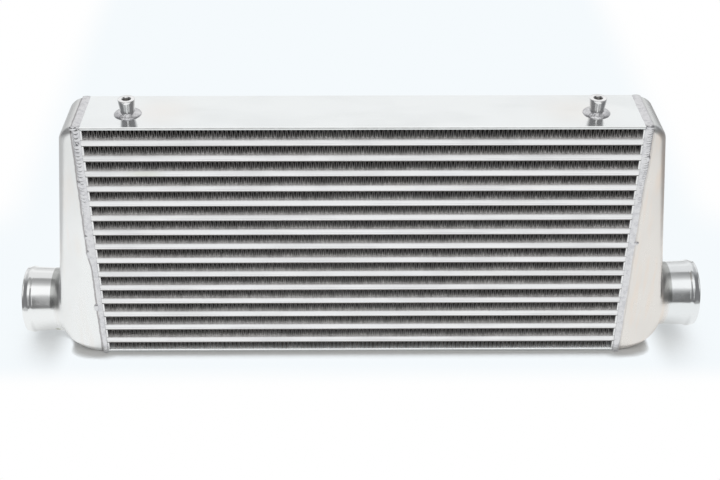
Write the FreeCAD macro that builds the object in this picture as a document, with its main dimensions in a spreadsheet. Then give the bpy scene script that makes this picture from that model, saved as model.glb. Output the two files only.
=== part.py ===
"""Front-mount air-to-air intercooler: a brazed bar-and-plate core between two cast end tanks.

Frame: millimetres, +X along the core, +Z up, the front face looks along -Y.
The origin is the centre of the core's underside, and the core stands on z = 0.

The core is a stack of layers.  Ambient air goes from front to back through 16 rows of
corrugated fins, each closed at both ends by a header bar.  Charge air goes from tank to tank
through 15 passages, each closed in front and behind by a long bar, with its own fins inside.
A parting sheet lies between each two layers, and a side plate closes the stack above and below.
Every flat joint is brazed face to face, so neighbours share their faces and nothing overlaps.
"""
import FreeCAD, Part
import math
import os

import Sketcher
from FreeCAD import Rotation, Vector

# Driving dimensions in millimetres, apart from the counts.
DIMENSIONS = [
    ("fin_span", 595.0, "length of an ambient fin row between its two header bars"),
    ("header_bar_width", 7.5, "width of a header bar along X"),
    ("core_depth", 76.0, "depth of the core along Y"),
    ("core_height", 300.0, "height of the core along Z"),
    ("side_plate", 4.0, "thickness of the top and bottom side plates"),
    ("sheet_gauge", 0.5, "thickness of a parting sheet"),
    ("bar_height", 7.3, "height of a long bar, which is also the height of a charge passage"),
    ("bar_width", 4.5, "width of a long bar along Y"),
    ("air_rows", 16, "number of ambient fin rows, one more than the charge passages"),
    ("air_folds", 24, "number of folds in an ambient fin row"),
    ("air_gauge", 0.6, "thickness of the ambient fin strip"),
    ("air_recess", 1.2, "how far an ambient fin row stays behind the faces of the core"),
    ("charge_folds", 7, "number of folds across a charge passage"),
    ("charge_gauge", 0.4, "thickness of the charge fin strip"),
    ("tank_overhang", 0.6, "how far a tank stands proud of the core, in front and behind"),
    ("tank_low_radius", 47.0, "round belly of the tank, about a centre on the joint"),
    ("tank_high_radius", 19.0, "round shoulder of the tank, about a centre on the joint"),
    ("tank_edge_bevel", 3.8, "bevel along the tank's long edges"),
    ("casting_wall", 3.5, "wall thickness of the cast tank"),
    ("neck_radius", 38.0, "outer radius of the hose neck"),
    ("neck_wall", 3.5, "wall thickness of the hose neck"),
    ("neck_reach", 89.0, "from the joint to the rim of the neck"),
    ("neck_root", 24.0, "from the joint to where the neck starts inside the casting"),
    ("neck_height_left", 51.5, "axis of the left neck above the underside"),
    ("neck_height_right", 58.0, "axis of the right neck above the underside"),
    ("bead_height", 2.2, "height of the rolled bead on the neck"),
    ("bead_width", 5.0, "width of the rolled bead on the neck"),
    ("bead_crown", 1.4, "width of the crown of that bead"),
    ("bead_setback", 7.5, "from the rim of the neck to the middle of its bead"),
    ("rim_edge", 0.8, "bevel round the rim of the neck"),
    ("weld_width", 9.0, "width of the bead between tank and core"),
    ("weld_height", 2.8, "height of the bead between tank and core"),
    ("boss_inset", 52.5, "from the joint in to the axis of a threaded boss"),
    ("boss_lead", 6.0, "how far the bosses stand in front of the middle of the plate"),
    ("boss_height", 18.0, "height of a boss"),
    ("boss_foot_radius", 8.0, "radius of a boss at its foot"),
    ("boss_head_radius", 9.25, "radius of a boss at its head"),
    ("boss_foot_height", 6.0, "height of the straight foot of a boss"),
    ("boss_head_height", 3.0, "height of the straight head of a boss"),
    ("boss_bevel", 0.6, "outer bevel round the head of a boss"),
    ("thread_radius", 4.25, "radius of the tapped hole in a boss, for an M10 screw"),
    ("thread_depth", 12.0, "depth of the tapped hole"),
    ("thread_bevel", 1.0, "bevel at the mouth of the tapped hole"),
    ("boss_weld_radius", 15.0, "outer radius of the weld ring round a boss"),
    ("boss_weld_height", 3.6, "height of that weld ring where it meets the boss"),
    ("boss_weld_toe", 1.5, "rise and run of that ring's steep outer edge"),
]

# Expressions that several sub-parts share.
JOINT = "(dims.fin_span / 2 + dims.header_bar_width)"
CORE_LENGTH = "(dims.fin_span + 2 * dims.header_bar_width)"
BAR_LAYER = "(dims.bar_height + 2 * dims.sheet_gauge)"
AIR_HEIGHT = (
    "((dims.core_height - 2 * dims.side_plate - (dims.air_rows - 1) * " + BAR_LAYER + ") / dims.air_rows)"
)
ROW_PITCH = "(" + AIR_HEIGHT + " + " + BAR_LAYER + ")"
TANK_HALF = "(dims.core_depth / 2 + dims.tank_overhang)"
HIGH_CENTRE = "(dims.core_height - dims.tank_high_radius)"

# The bead between tank and core is a round rod whose centre lies this far inside the core's faces.
BEAD_RADIUS = "((dims.weld_width / 2) ^ 2 + dims.weld_height ^ 2) / (2 * dims.weld_height)"
BEAD_SINK = "(" + BEAD_RADIUS + " - dims.weld_height)"

# The tapped hole ends in the cone that a drill leaves, with this half angle in degrees.
DRILL_POINT = 59.0

doc = FreeCAD.newDocument("intercooler")


def write_dimensions():
    """Put the driving dimensions in a spreadsheet, one alias a row, and return their values."""
    sheet = doc.addObject("Spreadsheet::Sheet", "dims")
    for row, (name, value, meaning) in enumerate(DIMENSIONS, start=1):
        sheet.set(f"A{row}", name)
        sheet.set(f"B{row}", str(value))
        sheet.set(f"C{row}", meaning)
        sheet.setAlias(f"B{row}", name)
    doc.recompute()
    return {name: sheet.get(name) for name, _, _ in DIMENSIONS}


def bind(item, **expressions):
    """Bind properties of an object to expressions; two underscores stand for a dot."""
    for path, expression in expressions.items():
        item.setExpression(path.replace("__", "."), str(expression))


def place(item, x="0", y="0", z="0"):
    """Bind the position of a sub-part."""
    bind(item, Placement__Base__x=x, Placement__Base__y=y, Placement__Base__z=z)


def origin_part(body, role):
    """Return an origin plane or axis of a body by its role."""
    for feature in body.Origin.OriginFeatures:
        if feature.Role == role:
            return feature
    raise ValueError(role)


def new_body(name):
    """Make an empty body that carries a sub-part's name."""
    body = doc.addObject("PartDesign::Body", name)
    body.Label = name
    return body


def new_sketch(body, name, role):
    """Attach an empty sketch to one of the body's own origin planes."""
    sketch = body.newObject("Sketcher::SketchObject", name)
    sketch.AttachmentSupport = [(origin_part(body, role), "")]
    sketch.MapMode = "FlatFace"
    return sketch


def value_of(item, expression):
    """The number that an expression gives with the dimensions as they are."""
    return float(item.evalExpression(expression))


def closed_outline(sketch, corners):
    """Draw a closed outline of straight edges and hold each corner by its two expressions."""
    points = [Vector(value_of(sketch, x), value_of(sketch, y), 0) for x, y in corners]
    count = len(points)
    for index in range(count):
        sketch.addGeometry(Part.LineSegment(points[index], points[(index + 1) % count]), False)
    for index in range(count):
        sketch.addConstraint(Sketcher.Constraint("Coincident", index, 2, (index + 1) % count, 1))
    for index, (hold_x, hold_y) in enumerate(corners):
        hold_corner(sketch, index, 1, hold_x, hold_y)


def hold_corner(sketch, geometry, vertex, hold_x, hold_y):
    """Fix one vertex of a sketch by its distances from the sketch's origin."""
    for kind, hold in (("DistanceX", hold_x), ("DistanceY", hold_y)):
        distance = value_of(sketch, hold)
        number = sketch.addConstraint(Sketcher.Constraint(kind, geometry, vertex, distance))
        sketch.setExpression(f"Constraints[{number}]", hold)


def add_feature(body, kind, name, sketch):
    """Add a sketch-based feature to a body."""
    feature = body.newObject(kind, name)
    feature.Profile = sketch
    sketch.Visibility = False
    return feature


def two_way_pad(body, name, sketch, length):
    """Pad a sketch to both sides of its plane."""
    feature = add_feature(body, "PartDesign::Pad", name, sketch)
    feature.Midplane = True
    bind(feature, Length=length)
    return feature


def full_turn(body, kind, name, sketch, axis):
    """Revolve or groove a sketch once round one of its own axes."""
    feature = add_feature(body, kind, name, sketch)
    feature.ReferenceAxis = (sketch, [axis])
    feature.Angle = 360.0
    return feature


def box(name, length, depth, height, x, y, z):
    """Make a box from expressions, centred on x and y, with its underside at z."""
    item = doc.addObject("Part::Box", name)
    bind(item, Length=length, Width=depth, Height=height)
    place(item, f"{x} - ({length}) / 2", f"{y} - ({depth}) / 2", z)
    return item


def group(name, items):
    """Gather like pieces under one sub-part, each still a solid of its own."""
    compound = doc.addObject("Part::Compound", name)
    compound.Label = name
    compound.Links = items
    return compound


def air_level(row):
    """Expression for the underside of an ambient fin row, counted from 0 at the bottom."""
    return f"dims.side_plate + {row} * {ROW_PITCH}"


def charge_level(row):
    """Expression for the underside of a charge passage, above the sheet that floors it."""
    return f"{air_level(row)} + {AIR_HEIGHT} + dims.sheet_gauge"


def make_side_plates():
    """Top and bottom side plates."""
    parts = []
    top_level = "dims.core_height - dims.side_plate"
    for name, level in (("bottom_side_plate", "0"), ("top_side_plate", top_level)):
        plate = box(name, CORE_LENGTH, "dims.core_depth", "dims.side_plate", "0", "0", level)
        plate.Label = name
        parts.append(plate)
    return parts


def long_bar(name, side, level):
    """A bar that closes a charge passage along the front (side -1) or the rear (side 1)."""
    y = f"{side} * (dims.core_depth - dims.bar_width) / 2"
    return box(name, CORE_LENGTH, "dims.bar_width", "dims.bar_height", "0", y, level)


def header_bar(name, side, level):
    """A bar that closes an ambient row at its left end (side -1) or its right end (side 1)."""
    x = f"{side} * (dims.fin_span + dims.header_bar_width) / 2"
    return box(name, "dims.header_bar_width", "dims.core_depth", AIR_HEIGHT, x, "0", level)


def parting_sheet(name, level):
    """A sheet that parts an ambient row from a charge passage."""
    return box(name, CORE_LENGTH, "dims.core_depth", "dims.sheet_gauge", "0", "0", level)


def make_core_bars(size):
    """Closing bars of the charge passages, header bars of the air rows, and parting sheets."""
    air_rows = int(size["air_rows"])
    front = []
    rear = []
    sheets = []
    for row in range(air_rows - 1):
        level = charge_level(row)
        number = f"{row + 1:02d}"
        front.append(long_bar(f"front_bar_{number}", -1, level))
        rear.append(long_bar(f"rear_bar_{number}", 1, level))
        sheets.append(parting_sheet(f"lower_sheet_{number}", f"{level} - dims.sheet_gauge"))
        sheets.append(parting_sheet(f"upper_sheet_{number}", f"{level} + dims.bar_height"))
    left = []
    right = []
    for row in range(air_rows):
        level = air_level(row)
        number = f"{row + 1:02d}"
        left.append(header_bar(f"left_header_{number}", -1, level))
        right.append(header_bar(f"right_header_{number}", 1, level))
    return [
        group("front_long_bars", front),
        group("rear_long_bars", rear),
        group("left_header_bars", left),
        group("right_header_bars", right),
        group("parting_sheets", sheets),
    ]


def fold_outline(sketch, pitch, height, gauge, start):
    """Outline of one fold of a corrugated strip: a chevron whose crest touches the sheet above.

    The strip is as thick as its gauge at right angles to the slope, so upright it measures more.
    """
    upright = f"({gauge}) * sqrt(1 + (2 * ({height}) / ({pitch})) ^ 2)"
    closed_outline(
        sketch,
        [
            (start, "0"),
            (f"{start} + ({pitch}) / 2", f"{height} - {upright}"),
            (f"{start} + ({pitch})", "0"),
            (f"{start} + ({pitch})", upright),
            (f"{start} + ({pitch}) / 2", height),
            (start, upright),
        ],
    )


def corrugated_fin(name, plane, run, depth, height, folds, gauge):
    """A corrugated fin strip: one fold padded to its depth and repeated along the sketch's X axis."""
    body = new_body(name)
    pitch = f"({run}) / {folds}"
    sketch = new_sketch(body, name + "_fold", plane)
    fold_outline(sketch, pitch, height, gauge, f"-({run}) / 2")
    pad = two_way_pad(body, name + "_pad", sketch, depth)
    doc.recompute()
    pattern = body.newObject("PartDesign::LinearPattern", name + "_folds")
    pattern.Originals = [pad]
    pattern.Direction = (sketch, ["H_Axis"])
    bind(pattern, Length=f"({run}) - {pitch}", Occurrences=folds)
    body.Tip = pattern
    return body


def repeat_body(first, name):
    """A body that starts as a copy of a finished one, for a like piece elsewhere in the stack."""
    body = new_body(name)
    body.BaseFeature = first
    return body


def make_fins(size):
    """Ambient fin rows and charge fin rows, one node for each row."""
    air_rows = int(size["air_rows"])
    air_depth = "(dims.core_depth - 2 * dims.air_recess)"
    charge_run = "(dims.core_depth - 2 * dims.bar_width)"
    families = (
        ("air_fin", "XZ_Plane", "dims.fin_span", air_depth, AIR_HEIGHT, "dims.air_folds", "dims.air_gauge",
         air_rows, air_level),
        ("charge_fin", "YZ_Plane", charge_run, "dims.fin_span", "dims.bar_height", "dims.charge_folds",
         "dims.charge_gauge", air_rows - 1, charge_level),
    )
    fins = []
    for stem, plane, run, depth, height, folds, gauge, rows, level in families:
        first = corrugated_fin(f"{stem}_01", plane, run, depth, height, folds, gauge)
        doc.recompute()
        place(first, z=level(0))
        fins.append(first)
        for row in range(1, rows):
            copy = repeat_body(first, f"{stem}_{row + 1:02d}")
            place(copy, z=level(row))
            fins.append(copy)
    return fins


def tank_outline(sketch, size, inset):
    """Front view of a tank: belly arc, shoulder arc and their common tangent, closed at the joint.

    Both arcs are centred on the joint, so they leave it level.  The inset is the wall, or 0.
    """
    wall = size["casting_wall"] if inset else 0.0
    low = size["tank_low_radius"] - wall
    high = size["tank_high_radius"] - wall
    low_centre = Vector(0, size["tank_low_radius"], 0)
    high_centre = Vector(0, size["core_height"] - size["tank_high_radius"], 0)
    lean = math.asin((low - high) / (high_centre.y - low_centre.y))
    low_end = low_centre + Vector(low * math.cos(lean), low * math.sin(lean), 0)
    high_end = high_centre + Vector(high * math.cos(lean), high * math.sin(lean), 0)
    upward = Vector(0, 0, 1)
    belly = Part.ArcOfCircle(Part.Circle(low_centre, upward, low), -math.pi / 2, lean)
    shoulder = Part.ArcOfCircle(Part.Circle(high_centre, upward, high), lean, math.pi / 2)
    mouth_low = Vector(0, low_centre.y - low, 0)
    mouth_high = Vector(0, high_centre.y + high, 0)
    sketch.addGeometry(belly, False)
    sketch.addGeometry(Part.LineSegment(low_end, high_end), False)
    sketch.addGeometry(shoulder, False)
    sketch.addGeometry(Part.LineSegment(mouth_high, mouth_low), False)
    for first, first_end, second, second_end in ((0, 2, 1, 1), (1, 2, 2, 1)):
        sketch.addConstraint(Sketcher.Constraint("Tangent", first, first_end, second, second_end))
    sketch.addConstraint(Sketcher.Constraint("Coincident", 2, 2, 3, 1))
    sketch.addConstraint(Sketcher.Constraint("Coincident", 3, 2, 0, 1))
    hold_corner(sketch, 0, 3, "0", "dims.tank_low_radius")
    hold_corner(sketch, 2, 3, "0", HIGH_CENTRE)
    for index, radius, hold in ((0, low, "dims.tank_low_radius"), (2, high, "dims.tank_high_radius")):
        number = sketch.addConstraint(Sketcher.Constraint("Radius", index, radius))
        sketch.setExpression(f"Constraints[{number}]", f"{hold} - dims.casting_wall" if inset else hold)
    for index, vertex in ((0, 1), (2, 2)):
        sketch.addConstraint(Sketcher.Constraint("PointOnObject", index, vertex, -2))


def raise_to_axis(sketch, size, height):
    """Lift a sketch so that its horizontal axis is the neck's axis."""
    sketch.AttachmentOffset = FreeCAD.Placement(Vector(0, size[height], 0), Rotation())
    sketch.setExpression("AttachmentOffset.Base.y", f"dims.{height}")


def neck_outline(sketch):
    """Outside of the neck as half a section: root, barrel with its rolled bead, bevelled rim, axis."""
    barrel = "dims.neck_radius"
    crown = "dims.neck_radius + dims.bead_height"
    bead = "dims.neck_reach - dims.bead_setback"
    closed_outline(
        sketch,
        [
            ("dims.neck_root", "0"),
            ("dims.neck_root", barrel),
            (f"{bead} - dims.bead_width / 2", barrel),
            (f"{bead} - dims.bead_crown / 2", crown),
            (f"{bead} + dims.bead_crown / 2", crown),
            (f"{bead} + dims.bead_width / 2", barrel),
            ("dims.neck_reach - dims.rim_edge", barrel),
            ("dims.neck_reach", "dims.neck_radius - dims.rim_edge"),
            ("dims.neck_reach", "0"),
        ],
    )


def bore_outline(sketch):
    """Half a section of the bore that joins the neck to the plenum."""
    bore = "dims.neck_radius - dims.neck_wall"
    start = "dims.neck_root - dims.casting_wall"
    rim = "dims.neck_reach"
    closed_outline(sketch, [(start, "0"), (rim, "0"), (rim, bore), (start, bore)])


def turn_to_side(body, side):
    """Put a body that was built outwards along +X at its own end of the core."""
    if side == "left":
        body.Placement = FreeCAD.Placement(Vector(0, 0, 0), Rotation(Vector(0, 0, 1), 180))
        place(body, x=f"-{JOINT}")
    else:
        place(body, x=JOINT)


def long_tank_edges(shape, half):
    """Names of the two long curved edges where a tank's outer wall meets its front and rear faces."""
    names = []
    for number, edge in enumerate(shape.Edges, start=1):
        ends = edge.BoundBox
        on_face = abs(abs(ends.YMin) - half) < 0.01 and abs(ends.YMax - ends.YMin) < 0.01
        if on_face and ends.XMax > 1.0:
            names.append(f"Edge{number}")
    return names


def make_tank(side, size):
    """A cast end tank with its neck, built outwards from the joint and then turned to its side."""
    name = f"{side}_tank"
    height = f"neck_height_{side}"
    body = new_body(name)
    outline = new_sketch(body, name + "_outline", "XZ_Plane")
    tank_outline(outline, size, inset=False)
    shell = two_way_pad(body, name + "_pad", outline, f"2 * {TANK_HALF}")
    doc.recompute()
    edges = body.newObject("PartDesign::Chamfer", name + "_long_edges")
    edges.Base = (shell, long_tank_edges(shell.Shape, value_of(body, TANK_HALF)))
    bind(edges, Size="dims.tank_edge_bevel")
    doc.recompute()
    barrel = new_sketch(body, name + "_neck_section", "XZ_Plane")
    raise_to_axis(barrel, size, height)
    neck_outline(barrel)
    full_turn(body, "PartDesign::Revolution", name + "_neck", barrel, "H_Axis")
    doc.recompute()
    hollow = new_sketch(body, name + "_plenum_outline", "XZ_Plane")
    tank_outline(hollow, size, inset=True)
    plenum = add_feature(body, "PartDesign::Pocket", name + "_plenum", hollow)
    plenum.Midplane = True
    bind(plenum, Length=f"2 * ({TANK_HALF} - dims.casting_wall)")
    doc.recompute()
    passage = new_sketch(body, name + "_bore_section", "XZ_Plane")
    raise_to_axis(passage, size, height)
    bore_outline(passage)
    full_turn(body, "PartDesign::Groove", name + "_bore", passage, "H_Axis")
    doc.recompute()
    turn_to_side(body, side)
    return body


def weld_path(sketch):
    """Centre line of the bead: up the front, over the top and down the rear."""
    depth = f"(dims.core_depth / 2 - {BEAD_SINK})"
    top = f"dims.core_height - {BEAD_SINK}"
    corners = [(f"-{depth}", "0"), (f"-{depth}", top), (depth, top), (depth, "0")]
    points = [Vector(value_of(sketch, x), value_of(sketch, y), 0) for x, y in corners]
    for start, end in zip(points, points[1:]):
        sketch.addGeometry(Part.LineSegment(start, end), False)
    for index in (0, 1):
        sketch.addConstraint(Sketcher.Constraint("Coincident", index, 2, index + 1, 1))
    for index, (hold_x, hold_y) in enumerate(corners[:3]):
        hold_corner(sketch, index, 1, hold_x, hold_y)
    hold_corner(sketch, 2, 2, *corners[3])


def weld_section(sketch):
    """Round section of the bead where its path starts, in front of the core at its foot."""
    depth = f"{BEAD_SINK} - dims.core_depth / 2"
    radius = value_of(sketch, BEAD_RADIUS)
    sketch.addGeometry(Part.Circle(Vector(0, value_of(sketch, depth), 0), Vector(0, 0, 1), radius), False)
    hold_corner(sketch, 0, 3, "0", depth)
    number = sketch.addConstraint(Sketcher.Constraint("Radius", 0, radius))
    sketch.setExpression(f"Constraints[{number}]", BEAD_RADIUS)


def make_core_weld(side):
    """The bead between a tank and the core, as a swept rod less the tank and the core it lies on."""
    name = f"{side}_core_weld"
    body = new_body(name)
    path = new_sketch(body, name + "_path", "YZ_Plane")
    weld_path(path)
    section = new_sketch(body, name + "_section", "XY_Plane")
    weld_section(section)
    doc.recompute()
    rod = add_feature(body, "PartDesign::AdditivePipe", name + "_rod", section)
    rod.Spine = (path, ["Edge1", "Edge2", "Edge3"])
    rod.Transition = "Right corner"
    doc.recompute()
    for label, half, two_sided in (("core", "dims.core_depth / 2", True), ("tank", TANK_HALF, False)):
        seat = new_sketch(body, f"{name}_{label}_seat", "YZ_Plane")
        top = "dims.core_height"
        closed_outline(seat, [(f"-({half})", "0"), (half, "0"), (half, top), (f"-({half})", top)])
        cut = add_feature(body, "PartDesign::Pocket", f"{name}_{label}_cut", seat)
        cut.Midplane = two_sided
        cut.Reversed = not two_sided
        bind(cut, Length="2 * dims.weld_width")
        doc.recompute()
    turn_to_side(body, side)
    return body


def boss_outline(sketch):
    """Half a section of a turned boss: foot, flared head, bevels, tapped hole and its drill cone."""
    foot = "dims.boss_foot_radius"
    head = "dims.boss_head_radius"
    top = "dims.boss_height"
    thread = "dims.thread_radius"
    hole_floor = "dims.boss_height - dims.thread_depth"
    closed_outline(
        sketch,
        [
            ("0", "0"),
            (foot, "0"),
            (foot, "dims.boss_foot_height"),
            (head, "dims.boss_height - dims.boss_head_height"),
            (head, "dims.boss_height - dims.boss_bevel"),
            (f"{head} - dims.boss_bevel", top),
            (f"{thread} + dims.thread_bevel", top),
            (thread, "dims.boss_height - dims.thread_bevel"),
            (thread, hole_floor),
            ("0", f"{hole_floor} - {thread} / tan({DRILL_POINT})"),
        ],
    )


def boss_weld_outline(sketch):
    """Half a section of the weld ring: gentle towards the boss, steeper where it runs out on the plate."""
    closed_outline(
        sketch,
        [
            ("dims.boss_foot_radius", "0"),
            ("dims.boss_weld_radius", "0"),
            ("dims.boss_weld_radius - dims.boss_weld_toe", "dims.boss_weld_toe"),
            ("dims.boss_foot_radius", "dims.boss_weld_height"),
        ],
    )


def turned_pair(name, outline):
    """A turned piece at each of the two boss places, gathered under one name."""
    first = new_body(f"left_{name}")
    sketch = new_sketch(first, f"{name}_section", "XZ_Plane")
    outline(sketch)
    full_turn(first, "PartDesign::Revolution", f"{name}_turned", sketch, "V_Axis")
    doc.recompute()
    second = repeat_body(first, f"right_{name}")
    for body, x in ((first, f"dims.boss_inset - {JOINT}"), (second, f"{JOINT} - dims.boss_inset")):
        place(body, x=x, y="-dims.boss_lead", z="dims.core_height")
    return group(name, [first, second])


def check_document(parts):
    """Stop if any object failed to build or any sub-part is empty or broken."""
    for item in doc.Objects:
        if "Invalid" in item.State or "Error" in item.State:
            raise RuntimeError(f"{item.Name} failed: {item.State}")
    for part in parts:
        if part.Shape.isNull() or not part.Shape.isValid():
            raise RuntimeError(f"{part.Label} has no valid shape")


def write_parts(parts):
    """Write each sub-part to its own file and print what it holds."""
    os.makedirs("parts", exist_ok=True)
    total = 0.0
    for part in parts:
        part.Shape.exportStep(f"parts/{part.Label}.step")
        total += part.Shape.Volume
        extent = part.Shape.BoundBox
        print(
            f"{part.Label:20s} solids {len(part.Shape.Solids):3d}  volume {part.Shape.Volume:10.1f}"
            f"  x {extent.XMin:8.2f} {extent.XMax:8.2f}  y {extent.YMin:7.2f} {extent.YMax:7.2f}"
            f"  z {extent.ZMin:7.2f} {extent.ZMax:7.2f}"
        )
    print(f"{len(parts)} sub-parts, {total / 1000.0:.1f} cubic centimetres")


def main():
    """Build the whole intercooler."""
    size = write_dimensions()
    parts = make_side_plates()
    parts += make_core_bars(size)
    parts += make_fins(size)
    parts += [make_tank("left", size), make_tank("right", size)]
    parts += [make_core_weld("left"), make_core_weld("right")]
    parts.append(turned_pair("threaded_bosses", boss_outline))
    parts.append(turned_pair("boss_welds", boss_weld_outline))
    doc.recompute()
    check_document(parts)
    write_parts(parts)


main()
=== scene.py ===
"""The looks of the intercooler: cast tanks, fins, bars, welds and bosses, and a bright studio.

Everything is in metres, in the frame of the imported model: +X along the core, +Z up, and the
front face looks along -Y.  The origin is the centre of the core's underside.
"""

import logging
import math
from collections.abc import Callable
from dataclasses import dataclass, replace
from enum import Enum
from typing import Any

import bmesh
import bpy
import numpy as np
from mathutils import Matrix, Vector

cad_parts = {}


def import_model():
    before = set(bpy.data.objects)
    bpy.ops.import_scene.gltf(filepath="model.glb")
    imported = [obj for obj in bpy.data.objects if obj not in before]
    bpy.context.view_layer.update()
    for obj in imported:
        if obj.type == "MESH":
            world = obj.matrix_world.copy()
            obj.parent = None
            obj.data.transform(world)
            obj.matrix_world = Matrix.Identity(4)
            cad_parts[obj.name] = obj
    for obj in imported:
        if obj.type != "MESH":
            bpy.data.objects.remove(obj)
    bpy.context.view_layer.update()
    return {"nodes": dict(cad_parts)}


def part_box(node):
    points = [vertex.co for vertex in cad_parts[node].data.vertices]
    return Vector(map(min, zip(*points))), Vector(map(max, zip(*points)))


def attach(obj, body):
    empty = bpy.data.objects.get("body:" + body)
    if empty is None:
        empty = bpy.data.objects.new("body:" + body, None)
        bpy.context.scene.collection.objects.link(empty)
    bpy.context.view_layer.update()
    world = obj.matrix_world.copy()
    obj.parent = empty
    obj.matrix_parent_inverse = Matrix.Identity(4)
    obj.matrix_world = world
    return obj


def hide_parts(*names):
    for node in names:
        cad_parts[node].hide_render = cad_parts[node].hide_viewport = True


LOG = logging.getLogger("intercooler")
MM = 0.001
BODY = "root"
SEED_STEP = 3.7

Colour = tuple[float, float, float]
Point = tuple[float, float, float]
Pair = tuple[float, float]


class Side(Enum):
    """An end of the core, with the direction in which its tank points."""

    LEFT = -1.0
    RIGHT = 1.0

    @property
    def word(self) -> str:
        """The side's name as the nodes spell it."""
        return self.name.lower()


NECK_HEIGHTS = {Side.LEFT: 51.5 * MM, Side.RIGHT: 58.0 * MM}


class Face(Enum):
    """A long face of the core, with the direction in which it looks."""

    FRONT = -1.0
    REAR = 1.0


class Value:
    """A node's output that takes part in Python expressions."""

    def __init__(self, graph: "Graph", socket: bpy.types.NodeSocket) -> None:
        """Keep the socket and the graph that it belongs to.

        Args:
            graph: The graph that new nodes are added to.
            socket: The output that this value stands for.
        """
        self.graph = graph
        self.socket = socket

    def _math(self, operation: str, *others: Any) -> "Value":
        """Add one Math node whose first inputs are the values given."""
        return self.graph.value("ShaderNodeMath", {"operation": operation}, dict(enumerate(others)))

    def __add__(self, other: Any) -> "Value":
        """Sum."""
        return self._math("ADD", self, other)

    def __sub__(self, other: Any) -> "Value":
        """Difference."""
        return self._math("SUBTRACT", self, other)

    def __mul__(self, other: Any) -> "Value":
        """Product."""
        return self._math("MULTIPLY", self, other)

    def __truediv__(self, other: Any) -> "Value":
        """Quotient."""
        return self._math("DIVIDE", self, other)

    def __mod__(self, other: Any) -> "Value":
        """Remainder, always positive."""
        return self._math("FLOORED_MODULO", self, other)

    def __pow__(self, other: Any) -> "Value":
        """Power."""
        return self._math("POWER", self, other)

    def __rsub__(self, other: Any) -> "Value":
        """Difference with a plain number first."""
        return self._math("SUBTRACT", other, self)

    def __neg__(self) -> "Value":
        """Opposite."""
        return self._math("MULTIPLY", self, -1.0)

    __radd__ = __add__
    __rmul__ = __mul__

    def absolute(self) -> "Value":
        """Distance from zero."""
        return self._math("ABSOLUTE", self)

    def sine(self) -> "Value":
        """Sine of an angle in radians."""
        return self._math("SINE", self)

    def cosine(self) -> "Value":
        """Cosine of an angle in radians."""
        return self._math("COSINE", self)

    def least(self, other: Any) -> "Value":
        """The smaller of two values."""
        return self._math("MINIMUM", self, other)

    def most(self, other: Any) -> "Value":
        """The larger of two values."""
        return self._math("MAXIMUM", self, other)

    def whole(self) -> "Value":
        """The whole number at or below a value."""
        return self._math("FLOOR", self)

    def over(self, limit: float) -> "Value":
        """1 where the value is above a limit, else 0."""
        return self._math("GREATER_THAN", self, limit)

    def step(self, low: float, high: float) -> "Value":
        """Smooth rise from 0 at low to 1 at high, or a fall if low is above high.

        Args:
            low: Where the result is 0.
            high: Where the result is 1.

        Returns:
            The eased value between 0 and 1.
        """
        inputs = {"Value": self, "From Min": low, "From Max": high}
        return self.graph.value("ShaderNodeMapRange", {"interpolation_type": "SMOOTHSTEP"}, inputs)


class Graph:
    """Adds nodes to one node tree and links them."""

    def __init__(self, tree: bpy.types.NodeTree) -> None:
        """Work on a node tree.

        Args:
            tree: A shader, world or geometry node tree.
        """
        self.tree = tree

    def node(
        self, kind: str, settings: dict[str, Any] | None = None, inputs: dict[int | str, Any] | None = None
    ) -> bpy.types.Node:
        """Add any node.

        Args:
            kind: The node's type.
            settings: Its own settings, set first. "stops" fills a colour ramp.
            inputs: What goes into its sockets, by name or place: a Value, a socket or a constant.

        Returns:
            The new node.
        """
        node = self.tree.nodes.new(kind)
        for name, setting in (settings or {}).items():
            if name == "stops":
                self._fill_ramp(node.color_ramp, setting)
            else:
                setattr(node, name, setting)
        for key, given in (inputs or {}).items():
            if isinstance(given, Value):
                self.tree.links.new(given.socket, node.inputs[key])
            elif isinstance(given, bpy.types.NodeSocket):
                self.tree.links.new(given, node.inputs[key])
            else:
                node.inputs[key].default_value = given
        return node

    def value(
        self,
        kind: str,
        settings: dict[str, Any] | None = None,
        inputs: dict[int | str, Any] | None = None,
        output: int | str = 0,
    ) -> Value:
        """Add a node and return one of its outputs.

        Args:
            kind: The node's type.
            settings: Its own settings.
            inputs: What goes into its sockets.
            output: Which of its outputs to return.

        Returns:
            That output as a value.
        """
        return Value(self, self.node(kind, settings, inputs).outputs[output])

    @staticmethod
    def _fill_ramp(ramp: bpy.types.ColorRamp, stops: tuple[Pair, ...]) -> None:
        """Give a grey ramp its stops.

        Args:
            ramp: The ramp of a new colour ramp node.
            stops: Position and brightness of each stop.
        """
        while len(ramp.elements) < len(stops):
            ramp.elements.new(1.0)
        for element, (position, level) in zip(ramp.elements, stops):
            element.position = position
            element.color = (level, level, level, 1.0)

    def mix(self, share: Any, first: Any, second: Any) -> Value:
        """Blend two colours.

        Args:
            share: How much of the second colour shows, from 0 to 1.
            first: The first colour.
            second: The second colour.

        Returns:
            The blend.
        """
        pair = {0: share, 6: self._rgba(first), 7: self._rgba(second)}
        return self.value("ShaderNodeMix", {"data_type": "RGBA"}, pair, output=2)

    @staticmethod
    def _rgba(colour: Any) -> Any:
        """Give a plain colour its alpha and leave a linked one as it is."""
        return (*colour, 1.0) if isinstance(colour, tuple) else colour

    def along(self, direction: Any, length: Any) -> Value:
        """Scale a vector."""
        return self.value("ShaderNodeVectorMath", {"operation": "SCALE"}, {0: direction, "Scale": length})

    def vector(self, operation: str, *given: Any) -> Value:
        """Add one Vector Math node whose first inputs are the vectors given."""
        return self.value("ShaderNodeVectorMath", {"operation": operation}, dict(enumerate(given)))

    def axes(self, vector: Any) -> list[Value]:
        """The three coordinates of a vector."""
        outputs = self.node("ShaderNodeSeparateXYZ", inputs={0: vector}).outputs
        return [Value(self, socket) for socket in outputs]


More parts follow.
